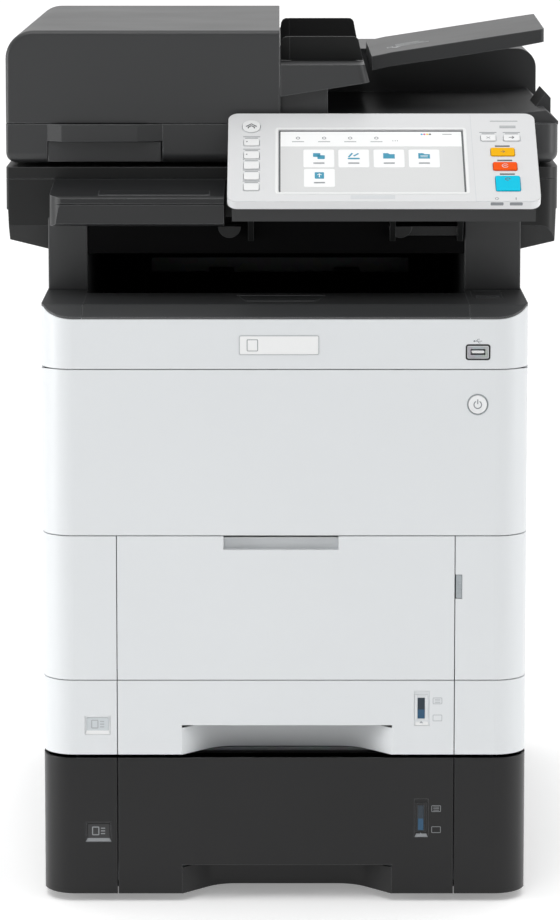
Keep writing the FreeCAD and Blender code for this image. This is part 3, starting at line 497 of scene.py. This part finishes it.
# Grey for the ledges under the black drawer's windows: a painted highlight on their upward faces.
ledge_highlight_grey = moulded_abs("painted_ledge_highlight", "#8f9295", roughness=0.35)
card_black = printed_film("black_size_card", "#17181a", 0.3)
foam_white = moulded_abs("white_backing_sheet_on_foam", "#f1f2f1", roughness=0.6, grain=1.6, depth=0.2)
belt_rubber = cured_rubber("toothed_belt_rubber", "#141414")
roller_rubber = cured_rubber("ground_roller_rubber", "#2b2c2e")


# --- Operation panel -------------------------------------------------------------------------

PANEL = "operation_panel"
TONER_COLOURS = {"cyan": "#1d9fd0", "magenta": "#d0347c", "yellow": "#f2c81a", "black": "#26272a"}
SCREEN = (-3.2, 157.0, 13.0, 101.0)      # recess in the panel's face: left, right, bottom, top
STATUS_BAR = 78.4                        # bottom of the light bar at the top of the screen
TILE_SIZE = (26.5, 25.0)
TILES = [(18.2, 48.9), (48.3, 48.9), (78.7, 48.9), (109.0, 48.9), (18.5, 21.6)]
WHITE_KEYS = ["log_out_key", "status_key", "box_key", "program_key", "energy_saver_key", "clear_key",
              "enter_key"]
LAMP_KEYS = ["log_out_key", "status_key"]
COLOUR_KEYS = ["reset_key", "stop_key", "start_key"]
SIGN_EDGE = soft_edge(-0.04, 0.12, 0.04)
DOT_EDGE = soft_edge(-0.04, 0.1, 0.03)
screen_face = lift(slope, -0.86)         # just under the faces of the screen's tiles


def screen():
    """Screen in its recess: rounded rectangles, one on another, and a raised frame round it."""
    left, right, low, high = SCREEN
    inner = (left + 1.6, right - 1.6, low + 0.8, high - 1.6)
    piece("screen_border", PANEL, screen_edge, slab(grown(SCREEN, -0.2), 1.0, -1.45, -1.1, 0.2, slope))
    piece("screen_background", PANEL, screen_grey, slab(inner, 0.8, -1.3, -0.95, 0.1, slope))
    piece("screen_status_bar", PANEL, screen_white,
          slab((inner[0] + 0.1, inner[1] - 0.1, STATUS_BAR, inner[3] - 0.1), 0.5, -1.0, -0.88, 0.05, slope))
    frame_path = rounded(left - 1.6, right + 1.6, low - 1.2, high + 1.7, 2.2)
    piece("screen_frame", PANEL, key_white, stroke(frame_path, 2.6, 0.35, slope, loop=True))
    for number, (a, b) in enumerate(TILES, 1):
        area = (a, a + TILE_SIZE[0], b, b + TILE_SIZE[1])
        piece(f"screen_tile_{number}", PANEL, screen_white, slab(area, 1.6, -1.0, -0.82, 0.08, slope))
        piece(f"screen_tile_caption_{number}", PANEL, faint_ink,
              bar(a + 8.5, a + 18.0, b + 5.6, 1.1, -0.76, slope, base=-0.9))


def screen_sheet(a, b, wide, high):
    """Sheet of a screen symbol, about its middle."""
    return tile(rounded(a - wide / 2, a + wide / 2, b - high / 2, b + high / 2, 0.8), SIGN_EDGE, screen_face)


def screen_folder(a, b):
    """Folder of a screen symbol: a box with a tab at its upper left."""
    outline = [(a - 5, b - 3.6), (a + 5, b - 3.6), (a + 5, b + 2.6), (a + 0.6, b + 2.6), (a - 0.8, b + 4),
               (a - 5, b + 4)]
    return tile(outline, SIGN_EDGE, screen_face)


def screen_dot(a, b, radius, steps):
    """Round dot on the screen, about its middle."""
    return tile(circle(a, b, radius, steps), DOT_EDGE, screen_face)


def screen_symbols():
    """Plain symbols: two sheets, a sheet on a glass, a folder, a full folder and a drawer.

    The status bar has four rings with bars under them, three dots, a short bar and the toner levels.
    """
    copy, scan, folder, full, drawer = [(a + TILE_SIZE[0] / 2, b + 15.8) for a, b in TILES]
    a, b = copy
    piece("symbol_copy", PANEL, screen_teal, screen_sheet(a - 1.8, b + 1.4, 6.4, 5.4),
          screen_sheet(a + 2.0, b - 1.6, 6.4, 5.4))
    a, b = scan
    piece("symbol_scan", PANEL, screen_teal, screen_sheet(a, b - 3.6, 10.4, 2.0),
          *[stroke(path, 1.6, 0.1, screen_face) for path in
            ([(a - 4.4, b - 1.6), (a - 1.2, b + 4.0)], [(a, b), (a + 4.2, b + 3.6)])])
    piece("symbol_folder", PANEL, screen_teal, screen_folder(*folder))
    piece("symbol_full_folder", PANEL, screen_teal, screen_folder(*full))
    a, b = full
    piece("symbol_full_folder_lines", PANEL, screen_white,
          *[bar(a - 3.2, a + 3.2, b - k, 0.6, 0.2, screen_face) for k in (-0.4, 1.2)])
    a, b = drawer
    piece("symbol_drawer", PANEL, screen_teal, screen_sheet(a, b, 8.0, 9.0))
    piece("symbol_drawer_mark", PANEL, screen_white,
          *[stroke(path, 0.9, 0.2, screen_face) for path in
            ([(a, b - 2.6), (a, b + 2.2)], [(a - 1.8, b + 0.6), (a, b + 2.4), (a + 1.8, b + 0.6)])])
    signs = []
    for a in (13.6, 36.3, 58.9, 81.6):
        signs.append(stroke(circle(a, 90.2, 1.5, 12), 0.7, 0.1, screen_face, loop=True))
        signs.append(bar(a - 5.2, a + 5.2, 85.0, 0.8, 0.1, screen_face))
    signs += [screen_dot(97.8 + k, 86.3, 0.5, 10) for k in (-2, 0, 2)]
    signs.append(bar(139.0, 147.0, 95.6, 0.7, 0.1, screen_face))
    piece("screen_status_symbols", PANEL, ink_grey, *signs)
    for k, (name, colour) in enumerate(TONER_COLOURS.items()):
        piece(f"screen_level_{name}", PANEL, printed_film(f"screen_{name}_dot", colour, 0.3, 0.1),
              screen_dot(121 + 2.4 * k, 95.6, 1.0, 14))


def key_area(name):
    """A key's area on the slope (left, right, bottom, top) and the height of its top, from its CAD solid."""
    points = np.array([v.co[:] for v in NODES[name].data.vertices]) - np.array(SLOPE_ORIGIN)
    across, along = points[:, 0] / MM, points @ SLOPE_UP / MM
    top = points @ SLOPE_OUT / MM
    face = top > top.max() - 0.05
    return (across[face].min(), across[face].max(), along[face].min(), along[face].max()), top.max()


def key_symbol(name, material, *paths, width):
    """Printed symbol on a key: paths in mm from the middle of its top."""
    (left, right, low, high), top = key_area(name)
    middle = ((left + right) / 2, (low + high) / 2)
    piece(name + "_symbol", name, material,
          *[stroke(np.array(path) + middle, width, 0.06, lift(slope, top)) for path in paths])


def key_symbols():
    """Plain symbols and lamps on the keys, and a surround and a legend of bars round each."""
    key_symbol("home_key", ink_dark, [(-4.6, -0.6), (0, 3.2), (4.6, -0.6)],
               [(-2.6, -3.2), (-2.6, -1.4), (0, 0.6)], [(2.6, -3.2), (2.6, -1.4), (0, 0.6)], width=1.3)
    key_symbol("reset_key", ink_dark, [(-1.8, 0), (1.8, 0)], [(0, -1.8), (1.8, 0), (0, 1.8)], width=0.5)
    key_symbol("stop_key", pale_ink, circle(0, 0.4, 2.6, 9, 22.5), [(-1.3, 0.4), (1.3, 0.4)], width=0.6)
    key_symbol("start_key", ink_dark, circle(0, 5.6, 2.3, 5, 0), [(-2.3, 5.6), (2.3, 5.6)], width=0.7)
    key_symbol("enter_key", ink_dark, [(-2.6, 0.4), (1.6, 0.4)], [(0.2, -1.4), (2.0, 0.4), (0.2, 2.2)],
               width=0.8)
    key_symbol("clear_key", ink_grey, [(-1.6, -1.4), (1.6, 1.4)], [(-1.6, 1.4), (1.6, -1.4)], width=0.5)
    for name in LAMP_KEYS:
        (left, right, low, high), top = key_area(name)
        piece(name + "_lamp", name, ink_dark,
              disc(left + 2.4, (low + high) / 2 + 0.8, 0.65, 14, -0.1, 0.12, 0.1, lift(slope, top)))
    for name in WHITE_KEYS + ["home_key"]:
        area, top = key_area(name)
        left, right, low, high = area
        middle = (left + right) / 2
        corner = (right - left) / 2 if name == "home_key" else 1.8
        piece(name + "_surround", PANEL, pale_ink,
              stroke(rounded(*grown(area, 0.7), corner), 0.6, 0.12, slope, loop=True))
        if name != "home_key":
            piece(name + "_legend", PANEL, ink_grey,
                  *[bar(middle - half, middle + half, high + rise, 0.9, INK, slope)
                    for half, rise in ((5.6, 2.4), (7.4, 4.3))])
    for name in COLOUR_KEYS:
        (left, right, low, high), top = key_area(name)
        middle = (left + right) / 2
        piece(name + "_legend", PANEL, ink_dark,
              bar(middle - 6.4, middle + 6.4, high + 3.2, 2.0, INK, slope))


def panel_details():
    """Grooves round the key field, lamp windows on the lip, and the blank strip and bars on the face."""
    piece("key_field_groove", PANEL, pale_ink, stroke([(164.0, 122.0), (164.7, 0.6)], 0.5, 0.06, slope),
          bar(164.7, 217.0, 0.6, 0.5, 0.06, slope), bar(-40.0, -14.0, 0.8, 0.5, 0.06, slope))
    piece("status_lamp_windows", PANEL, ink_grey,
          *[slab((a, a + 11.0, -3.9, -0.7), 0.8, -0.5, 0.3, 0.25, panel_lip) for a in (176.9, 193.2)])
    piece("lamp_legends", PANEL, ink_grey, stroke(circle(182.4, 4.4, 1.4, 12), 0.5, INK, slope, loop=True),
          stroke([(198.7, 2.8), (198.7, 6.0)], 0.7, INK, slope))
    piece("blank_name_strip", PANEL, pale_ink, slab((58.0, 96.0, 4.0, 9.0), 1.0, -0.1, 0.12, 0.08, slope))
    piece("energy_mark", PANEL, ink_grey, bar(181.0, 205.0, 113.4, 0.8, INK, slope),
          *[bar(189.0, 203.0, b, 1.0, INK, slope) for b in (104.0, 106.2)])


# --- Front of the body -----------------------------------------------------------------------

NAME_PLATE = (-36.5, 30.9, 478.3, 494.3)
COVER_LATCH = (148.8, 154.0, 267.1, 287.6)
SIZE_WINDOWS = {"cassette_1": (-170.0, -148.0, 148.0, 164.0), "cassette_2": (-170.0, -147.5, 53.0, 70.5)}
LEVEL_GAUGES = {"cassette_1": (113.4, 126.7, 155.6, 186.0), "cassette_2": (114.0, 126.0, 57.0, 91.0)}


def name_plate():
    """Blank plate on the band under the deck, with a thin bright edge."""
    piece("name_plate", "chassis", key_white, slab(NAME_PLATE, 1.2, -0.3, 0.32, 0.2, front))
    piece("name_plate_edge", "chassis", aluminium,
          stroke(rounded(*NAME_PLATE, 1.2), 0.7, 0.42, front, loop=True))
    piece("name_plate_square", "chassis", ink_grey,
          stroke(rounded(-30.0, -21.0, 481.4, 491.0, 0.6), 0.8, 0.4, front, loop=True, base=0.25))


def power_details():
    """Round button with a dished face: its profile is swept once round the axis."""
    low, high = box_mm("power_button")
    a, b = (low[0] + high[0]) / 2, (low[2] + high[2]) / 2
    radius, thickness = (high[0] - low[0]) / 2, high[1] - low[1]
    dish_depth = 0.34
    face = wall(low[1])
    profile = [(radius, -thickness), (radius, -0.5), (radius - 0.2, -0.15), (radius - 0.6, -0.02),
               (radius - 1.2, -0.1), (radius - 2.2, -0.3), (0.5, -dish_depth)]
    cap = piece("power_button_cap", "power_button", button_white, turned(profile, a, b, face, 48),
                slot="button_white")
    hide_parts("power_button")
    dish = lift(face, -dish_depth)
    piece("power_symbol", "power_button", ink_grey,
          stroke(circle(a, b - 0.2, 3.2, 24, 118, 304), 0.9, 0.1, dish),
          stroke([(a, b + 0.4), (a, b + 4.4)], 0.9, 0.1, dish))
    piece("power_button_ring", "front_cover", grip_grey,
          stroke(circle(a, b, radius + 0.8, 48), 0.8, 0.28, front, loop=True))


def usb_details():
    """Tongue with four contacts in the port, its surround, and a branching mark above it."""
    low, high = box_mm("usb_port")
    a, b = (low[0] + high[0]) / 2, (low[2] + high[2]) / 2
    depth = high[1] - low[1] - 1.8
    floor = wall(high[1] - 1.0)
    piece("usb_tongue", "chassis", key_white,
          slab((a - 5.4, a + 5.4, b - 1.2, b + 1.2), 0.4, 0.0, depth, 0.3, floor))
    piece("usb_contacts", "chassis", aluminium,
          *[slab((a + k - 0.45, a + k + 0.45, b - 1.42, b - 1.18), 0.1, 3.0, depth - 1.0, 0.05, floor)
            for k in (-3.5, -1.2, 1.2, 3.5)])
    outline = rounded(*grown((low[0], high[0], low[2], high[2]), 1.6), 1.6)
    piece("usb_surround", "chassis", base_charcoal, stroke(outline, 1.5, 0.3, front, loop=True))
    trunk = b + 9.5
    piece("usb_mark", "chassis", ink_grey, bar(a - 3.2, a + 3.4, trunk, 0.5, INK, front),
          disc(a - 3.2, trunk, 0.8, 14, -0.1, INK, 0.05, front),
          stroke([(a - 1.6, trunk), (a, b + 11.2), (a + 1.4, b + 11.2)], 0.5, INK, front),
          stroke([(a - 0.6, trunk), (a + 0.8, b + 7.9), (a + 2.0, b + 7.9)], 0.5, INK, front))


def open_frame(left, right, low, high):
    """Path up the left side, over the top and down the right side of an area."""
    return [(left, low), (left, high), (right, high), (right, low)]


def size_window(name, surround, ledge, card, mark):
    """Window with a card that carries a sheet and three lines, over a lit ledge."""
    left, right, low, high = SIZE_WINDOWS[name]
    piece(name + "_size_card", name, card,
          slab((left + 1.6, right - 1.6, low + 3.0, high - 1.6), 0.8, -1.5, -0.6, 0.3, front))
    piece(name + "_size_ledge", name, ledge,
          sill(left + 0.2, right - 0.2, low + 0.2, low + 3.2, 1.4, 0.5, lift(front, -0.1)))
    piece(name + "_size_frame", name, surround,
          stroke(open_frame(left + 0.9, right - 0.9, low + 2.6, high - 0.5), 1.3, -0.1, front, base=-1.2))
    middle, level = (left + right) / 2, (low + high) / 2 + 0.8
    face = lift(front, -0.6)
    sheet = rounded(middle - 5.2, middle + 0.2, level - 3.4, level + 3.4, 0.5)
    piece(name + "_size_mark", name, mark, stroke(sheet, 0.9, 0.06, face, loop=True),
          *[bar(middle + 2.0, middle + 5.6, level + k, 0.9, 0.06, face) for k in (-2.4, 0, 2.4)])


def level_gauge(name, surround, ledge, mark):
    """Window with navy painted shade over its upper part, over a lit ledge with a pointer; a full and an empty
    tray beside it.
    """
    left, right, low, high = LEVEL_GAUGES[name]
    piece(name + "_gauge_window", name, gauge_blue,
          slab((left + 3.0, right - 4.0, low + 6.0, high - 6.0), 0.6, -2.0, -0.9, 0.25, front))
    # navy over the window's upper part: painted shade under its top edge
    shade_foot = high - 6.1 - 0.34 * (high - low)
    piece(name + "_gauge_painted_shade", name, gauge_navy,
          slab((left + 3.1, right - 4.1, shade_foot, high - 6.1), 0.5, -1.2, -0.82, 0.1, front))
    piece(name + "_gauge_frame", name, surround,
          stroke(open_frame(left + 1.6, right - 2.6, low + 5.0, high - 3.6), 2.4, -0.25, front, base=-1.4))
    piece(name + "_gauge_ledge", name, ledge,
          sill(left + 0.3, right - 0.3, low + 0.3, low + 5.6, 2.4, 1.2, lift(front, -0.15)))
    middle = (left + right - 1) / 2
    piece(name + "_gauge_pointer", name, mark,
          tile([(middle - 1.7, low + 2.0), (middle + 1.7, low + 2.0), (middle, low + 4.0)],
               soft_edge(-1.0, -0.45, 0.1), front))
    symbols = []
    for level, lines in ((high - 9.0, 3), (low + 6.4, 0)):
        outline = rounded(right + 3.0, right + 10.6, level - 2.2, level + 3.0, 0.5)
        symbols.append(stroke(outline, 0.45, INK, front, loop=True))
        symbols += [bar(right + 4.4, right + 9.2, level - 1.0 + 1.4 * k, 0.45, INK, front)
                    for k in range(lines)]
    piece(name + "_gauge_marks", name, mark, *symbols)


def cover_latch():
    """Grey latch in the notch beside the bypass tray, ribbed across."""
    left, right, low = COVER_LATCH[:3]
    piece("cover_latch", "chassis", grip_grey, slab(COVER_LATCH, 0.8, -2.2, -0.2, 0.6, front),
          *[bar(left + 1.2, right - 1.2, low + 5 + 3.2 * k, 1.1, 0.15, front, base=-0.6) for k in range(4)])


# --- Deck and output bay ---------------------------------------------------------------------

UPRIGHTS = {"left": (-205.8, -171.3), "right": (160.3, 209.6)}     # each facing's left and right side
UPRIGHT_DEPTH = 24.0
BAY_TOP = 583.0
# foot of the near-black panel painted as the bay's shade
PAINTED_SHADE_FOOT = 551.0


def upright_facings():
    """Front faces of the scanner's two supports, and between them a near-black panel painted as the bay's shade.
    """
    face = wall(box_mm("scanner_top_frame")[0][1] - 1.0)
    foot = box_mm("output_tray")[1][2] - 0.4
    for side, (left, right) in UPRIGHTS.items():
        piece(f"{side}_upright_facing", "chassis", upright_charcoal,
              slab((left, right, foot, BAY_TOP), 1.2, -UPRIGHT_DEPTH, 1.6, 1.0, face), slot="charcoal")
    # near-black panel over the base's lower front: painted shade of the bay
    painted_shade = (UPRIGHTS["left"][1] + 0.4, UPRIGHTS["right"][0] - 0.4, PAINTED_SHADE_FOOT, BAY_TOP)
    piece("bay_painted_shade", "chassis", inner_black_and_shade, slab(painted_shade, 0.6, -4.0, 0.9, 0.5, face), slot="charcoal")


def deck_details():
    """Lip on the paper stop, and finger ribs on the release lever."""
    low, high = box_mm("output_stopper")
    piece("stopper_lip", "output_stopper", tray_grey,
          bar(-30.0, 28.0, low[1] + 1.2, 1.8, 0.45, table(high[2])))
    low, high = box_mm("release_lever")
    piece("lever_ribs", "release_lever", tray_grey,
          *[bar(low[0] + 3, high[0] - 3, low[1] + k, 2.2, 0.7, table(high[2])) for k in (6, 14, 50)])


# --- Scanner and document feeder -------------------------------------------------------------

TRAY_MARKS = ((-52.0, 30.0), (-40.0, 26.0), (-28.0, 22.0))         # each size line's place and length
SLIT = (-2.42, -1.4, 667.0, 734.0)                                 # beside the feeder's jam cover
SLIT_FRONT, SLIT_DEPTH = -165.6, 282.0
FEED_ROLLER_LENGTH, FEED_ROLLER_RADIUS = 28.0, 12.2
FEED_AXIS_HEIGHT = 694.0
BACKING_PAD = (-190.0, 162.0, -114.0, 100.0)


def rubber_roller(name, body, length, radius, at):
    """Rubber roller with rounded shoulders, standing on a face: its profile is swept once round."""
    bore = radius * 0.4
    profile = [(bore, 0), (radius - 0.8, 0), (radius, 0.8), (radius, length - 0.8), (radius - 0.8, length),
               (bore, length)]
    piece(name, body, roller_rubber, turned(profile, 0, 0, at))


def roller_across(name, body, x0, x1, y, z, radius):
    """Roller along X."""
    rubber_roller(name, body, x1 - x0, radius, flat_face((x0 * MM, y * MM, z * MM), (0, 1, 0), (0, 0, 1)))


def roller_along(name, body, y0, y1, x, z, radius):
    """Roller along Y."""
    rubber_roller(name, body, y1 - y0, radius, flat_face((x * MM, y0 * MM, z * MM), (0, 0, 1), (1, 0, 0)))


def grip_skirt():
    """Flush panel under the feeder's lifting bar."""
    face = wall(box_mm("scanner_top_frame")[0][1] + 0.5)
    low = box_mm("document_feeder")[0][2]
    piece("grip_skirt", "document_feeder", charcoal,
          slab((-205.6, -106.4, low + 1.2, 649.7), 0.8, -3.0, 0.0, 0.6, face), slot="charcoal")


def cover_side_lip():
    """Thin lip of the feeder that closes the slit beside its cover."""
    left, right, low, high = SLIT
    outline = [(left, low), (right, low), (right, high), (left, high)]
    piece("cover_side_lip", "document_feeder", base_charcoal,
          tile(outline, [(0.0, -SLIT_DEPTH), (0.0, 0.0)], wall(SLIT_FRONT)))


def guide_root(name, y, top):
    """Left end of a document guide, rounded at its top, reaching to the feeder's cover."""
    base = box_mm(name)[0][2] + 0.05
    outline = [(-1.7, base), (7.0, base), (7.0, top - 0.1), (3.2, top - 0.1), (0.6, top - 1.4),
               (-1.0, top - 4.4), (-1.7, top - 10.0)]
    profile = [(0.0, -3.1), (0.0, -0.2), (0.2, 0.05)]
    piece(name + "_root", name, OWN_FINISH[name], tile(outline, profile, wall(y)))


def feeder_details():
    """Latch, tray marks, table scale, feed rollers and the padded backing of the document feeder."""
    high = box_mm("feeder_cover")[1]
    piece("feeder_cover_latch", "feeder_cover", tray_grey,
          slab((high[0] - 17.0, high[0] - 3.0, 60.0, 190.0), 3.0, -0.6, -0.02, 0.4, table(high[2])))
    tray_foot, tray_head = (97.0, 725.2), (150.0, 733.6)           # X and Z of two points up the tray
    run, rise = tray_head[0] - tray_foot[0], tray_head[1] - tray_foot[1]
    climb = np.array([run, 0, rise]) / math.hypot(run, rise)
    tray = flat_face((tray_foot[0] * MM, 0, tray_foot[1] * MM), climb, (0, 1, 0))
    piece("document_tray_marks", "document_tray", pale_ink,
          *[bar(6.0, 6.0 + length, b, 1.2, 0.12, tray) for b, length in TRAY_MARKS],
          tile([(2.0, -60.0), (10.0, -60.0), (6.0, -67.0)], soft_edge(-0.1, 0.12, 0.05), tray),
          stroke(rounded(-2.0, 3.0, -56.0, -48.0, 0.8), 0.6, 0.12, tray, loop=True))
    feed_table = table(box_mm("document_guide_front")[0][2])
    piece("document_table_scale", "document_feeder", pale_ink,
          *[bar(3.0, 8.0, 40.0 + 6.0 * k, 0.7, -0.3, feed_table, base=-0.5) for k in range(9)])
    for pair, x in enumerate((-150.0, -90.0), 1):
        for number, y in enumerate((-34.0, 6.0), 1):
            roller_along(f"feed_roller_{pair}_{number}", "document_feeder", y, y + FEED_ROLLER_LENGTH, x,
                         FEED_AXIS_HEIGHT, FEED_ROLLER_RADIUS)
    under = flat_face((0, 0, box_mm("document_feeder")[0][2] * MM), (1, 0, 0), (0, -1, 0))
    pad = piece("platen_backing_pad", "document_feeder", foam_white,
                slab(BACKING_PAD, 4.0, -0.5, 2.7, 1.0, under))


def scanner_details():
    """Scale beside the glass with a mark each 10 mm, and the carriage's lamp and belt."""
    low, high = box_mm("platen_glass")
    top = table(high[2])
    piece("platen_scale_strip", "chassis", foam_white,
          slab((-198.4, -192.6, low[1] + 2, high[1] - 2), 0.6, -0.5, 0.25, 0.15, top))
    piece("platen_scale_marks", "chassis", ink_dark,
          *[bar(-196.6, -193.4, low[1] + 8 + 10 * k, 0.6, 0.32, top, base=0.1) for k in range(21)])
    low, high = box_mm("scan_carriage")
    piece("carriage_lamp", "scan_carriage", screen_white,
          slab((low[0] + 2, low[0] + 5, low[1] + 6, high[1] - 6), 1.0, -0.4, 0.5, 0.4, table(high[2])))
    loop = rounded(-212.0, 212.0, 584.0, 598.0, 6.9)
    piece("carriage_belt", "chassis", belt_rubber,
          stroke(loop, 1.4, 2.5, wall(low[1] - 6.0), loop=True, base=-2.5))


# --- Inside and back -------------------------------------------------------------------------

BOTTLE_WIDTH = 73.0
CAP_HALF_WIDTH = 14.2
CAP_BOTTOM, CAP_TOP = 420.4, 435.6


def toner_caps():
    """One coloured cap in the middle of each of the four equally spaced bottles."""
    low, high = box_mm("toner_containers")
    pitch = (high[0] - low[0] - BOTTLE_WIDTH) / 3
    for number, (name, colour) in enumerate(TONER_COLOURS.items()):
        middle = low[0] + BOTTLE_WIDTH / 2 + pitch * number
        area = (middle - CAP_HALF_WIDTH, middle + CAP_HALF_WIDTH, CAP_BOTTOM, CAP_TOP)
        cap = moulded_abs(f"{name}_toner_cap_polypropylene", colour, roughness=0.3)
        piece(f"toner_cap_{name}", "chassis", cap, slab(area, 2.5, -0.6, 1.4, 0.9, wall(low[1])))


def back_details():
    """Domed screw heads on the back panel, and the port cover and grip ribs of the rear cover."""
    head = [(3.2, -0.2), (3.2, 0.5), (2.6, 1.2), (1.2, 1.6)]
    piece("rear_panel_screws", "chassis", steel,
          *[turned(head, a, b, lift(back, -1.9), 20) for a in (-186.0, 182.0) for b in (146.0, 320.0, 500.0)])
    piece("rear_port_cover", "rear_cover", white_cover,
          slab((88.0, 101.0, 450.0, 462.0), 1.0, -0.6, -0.1, 0.3, back))
    piece("rear_cover_grip_ribs", "rear_cover", white_cover,
          *[bar(-110.0, 110.0, b, 2.4, -0.05, back, base=-0.6) for b in (460.0, 466.0, 472.0)])


def paper_path():
    """Rollers of the bypass, the registration and the exit, and a friction pad on each lift plate."""
    roller_across("bypass_pick_roller", "chassis", -22.0, 26.0, -244.0, 216.0, 9.0)
    roller_across("registration_roller", "chassis", -110.0, 114.0, -222.0, 232.0, 7.0)
    for plate in ("cassette_1_lift_plate", "cassette_2_lift_plate"):
        low, high = box_mm(plate)
        piece(plate.replace("lift_plate", "friction_pad"), plate, roller_rubber,
              slab((-16.0, 20.0, low[1] + 6, low[1] + 28), 2.0, -0.3, 0.7, 0.4, table(high[2])))
    for number, x in enumerate((-70.0, 50.0), 1):
        roller_across(f"exit_roller_{number}", "chassis", x, x + 24.0, 128.5, 499.0, 5.0)


# --- Studio ----------------------------------------------------------------------------------

FLOOR_REACH = 60.0                       # metres each way
CAMERA_PLACE = (-0.002, -3.4895, 0.934)  # metres
CAMERA_TILT = 6.917                      # degrees downwards
CAMERA_LENS = 148.7
SENSOR = 36
CAMERA_SHIFT = -0.2


def studio_world(scene):
    """Light tent: bright behind the machine, less bright overhead, dim on the viewer's side."""
    world = bpy.data.worlds.new("studio")
    scene.world = world
    world.use_nodes = True
    tree = world.node_tree
    way = node(tree, "ShaderNodeSeparateXYZ", _0=node(tree, "ShaderNodeTexCoord").outputs["Generated"])
    behind = spread(tree, way.outputs["Y"], 0.2, 0.82, -0.5, 0.7)
    above = spread(tree, way.outputs["Z"], 0.0, 0.75, 0.35, 0.95)
    both = node(tree, "ShaderNodeMath", {"operation": "ADD"}, _0=behind, _1=above)
    background = tree.nodes["Background"]
    background.inputs["Color"].default_value = (1, 1, 1, 1)
    tree.links.new(both.outputs["Value"], background.inputs["Strength"])


def softbox(scene, name, place, aim, size, power):
    """Square area light, aimed, and left out of the camera's own view; metres and watts."""
    data = bpy.data.lights.new(name, "AREA")
    data.energy = power
    data.size = size
    lamp = bpy.data.objects.new(name, data)
    scene.collection.objects.link(lamp)
    lamp.location = place
    lamp.rotation_euler = (Vector(aim) - Vector(place)).to_track_quat("-Z", "Y").to_euler()
    lamp.visible_camera = False


def studio_floor(scene):
    """Seamless pale floor, lit from below as a light table from just before the machine to the back."""
    mesh = bpy.data.meshes.new("floor")
    mesh.from_pydata([(-FLOOR_REACH, -FLOOR_REACH, 0), (FLOOR_REACH, -FLOOR_REACH, 0),
                      (FLOOR_REACH, FLOOR_REACH, 0), (-FLOOR_REACH, FLOOR_REACH, 0)], [], [(0, 1, 2, 3)])
    floor = bpy.data.objects.new("floor", mesh)
    scene.collection.objects.link(floor)
    material, tree, place = new_material("pale_studio_floor")
    tone = clouded(tree, place, "#f6f6f6", 0.004, 900)[0]
    depth = node(tree, "ShaderNodeSeparateXYZ", _0=place).outputs["Y"]
    shade(tree, {"Roughness": 0.9}, Base_Color=tone, Emission_Color=tone,
          Emission_Strength=spread(tree, depth, 0.05, 0.3, -1.1, -0.33))
    mesh.materials.append(material)


def studio():
    """World, floor, three softboxes, and the camera straight in front with a long lens."""
    scene = bpy.context.scene
    scene.view_settings.view_transform = "Standard"
    studio_world(scene)
    studio_floor(scene)
    softbox(scene, "key", (-3.0, -0.9, 0.7), (-0.1, 0, 0.35), 0.8, 27)
    softbox(scene, "rim", (3.0, -0.8, 0.7), (0.1, 0, 0.35), 0.8, 14)
    softbox(scene, "top_fill", (-0.4, -2.2, 3.4), (0, 0, 0.5), 1.3, 25)
    data = bpy.data.cameras.new("camera")
    data.lens = CAMERA_LENS
    data.sensor_width = SENSOR
    data.shift_y = CAMERA_SHIFT
    camera = bpy.data.objects.new("camera", data)
    scene.collection.objects.link(camera)
    camera.location = CAMERA_PLACE
    camera.rotation_euler = (math.radians(90 - CAMERA_TILT), 0, 0)
    scene.camera = camera


# --- The whole machine -----------------------------------------------------------------------

screen()
screen_symbols()
key_symbols()
panel_details()
name_plate()
power_details()
usb_details()
# Each ledge is paler than its drawer: a painted highlight on its upward face.
for drawer, surround, ledge, card, mark in (("cassette_1", white_cover, key_white, window_clear, faint_ink),
                                            ("cassette_2", drawer_black, ledge_highlight_grey, card_black, dim_ink)):
    size_window(drawer, surround, ledge, card, mark)
    level_gauge(drawer, surround, ledge, mark)
cover_latch()
upright_facings()
deck_details()
grip_skirt()
cover_side_lip()
for guide, near in (("document_guide_front", box_mm("document_guide_front")[0][1]),
                    ("document_guide_rear", box_mm("document_guide_rear")[1][1] - 3.0)):
    guide_root(guide, near, box_mm(guide)[1][2])
feeder_details()
scanner_details()
toner_caps()
back_details()
paper_path()
studio()
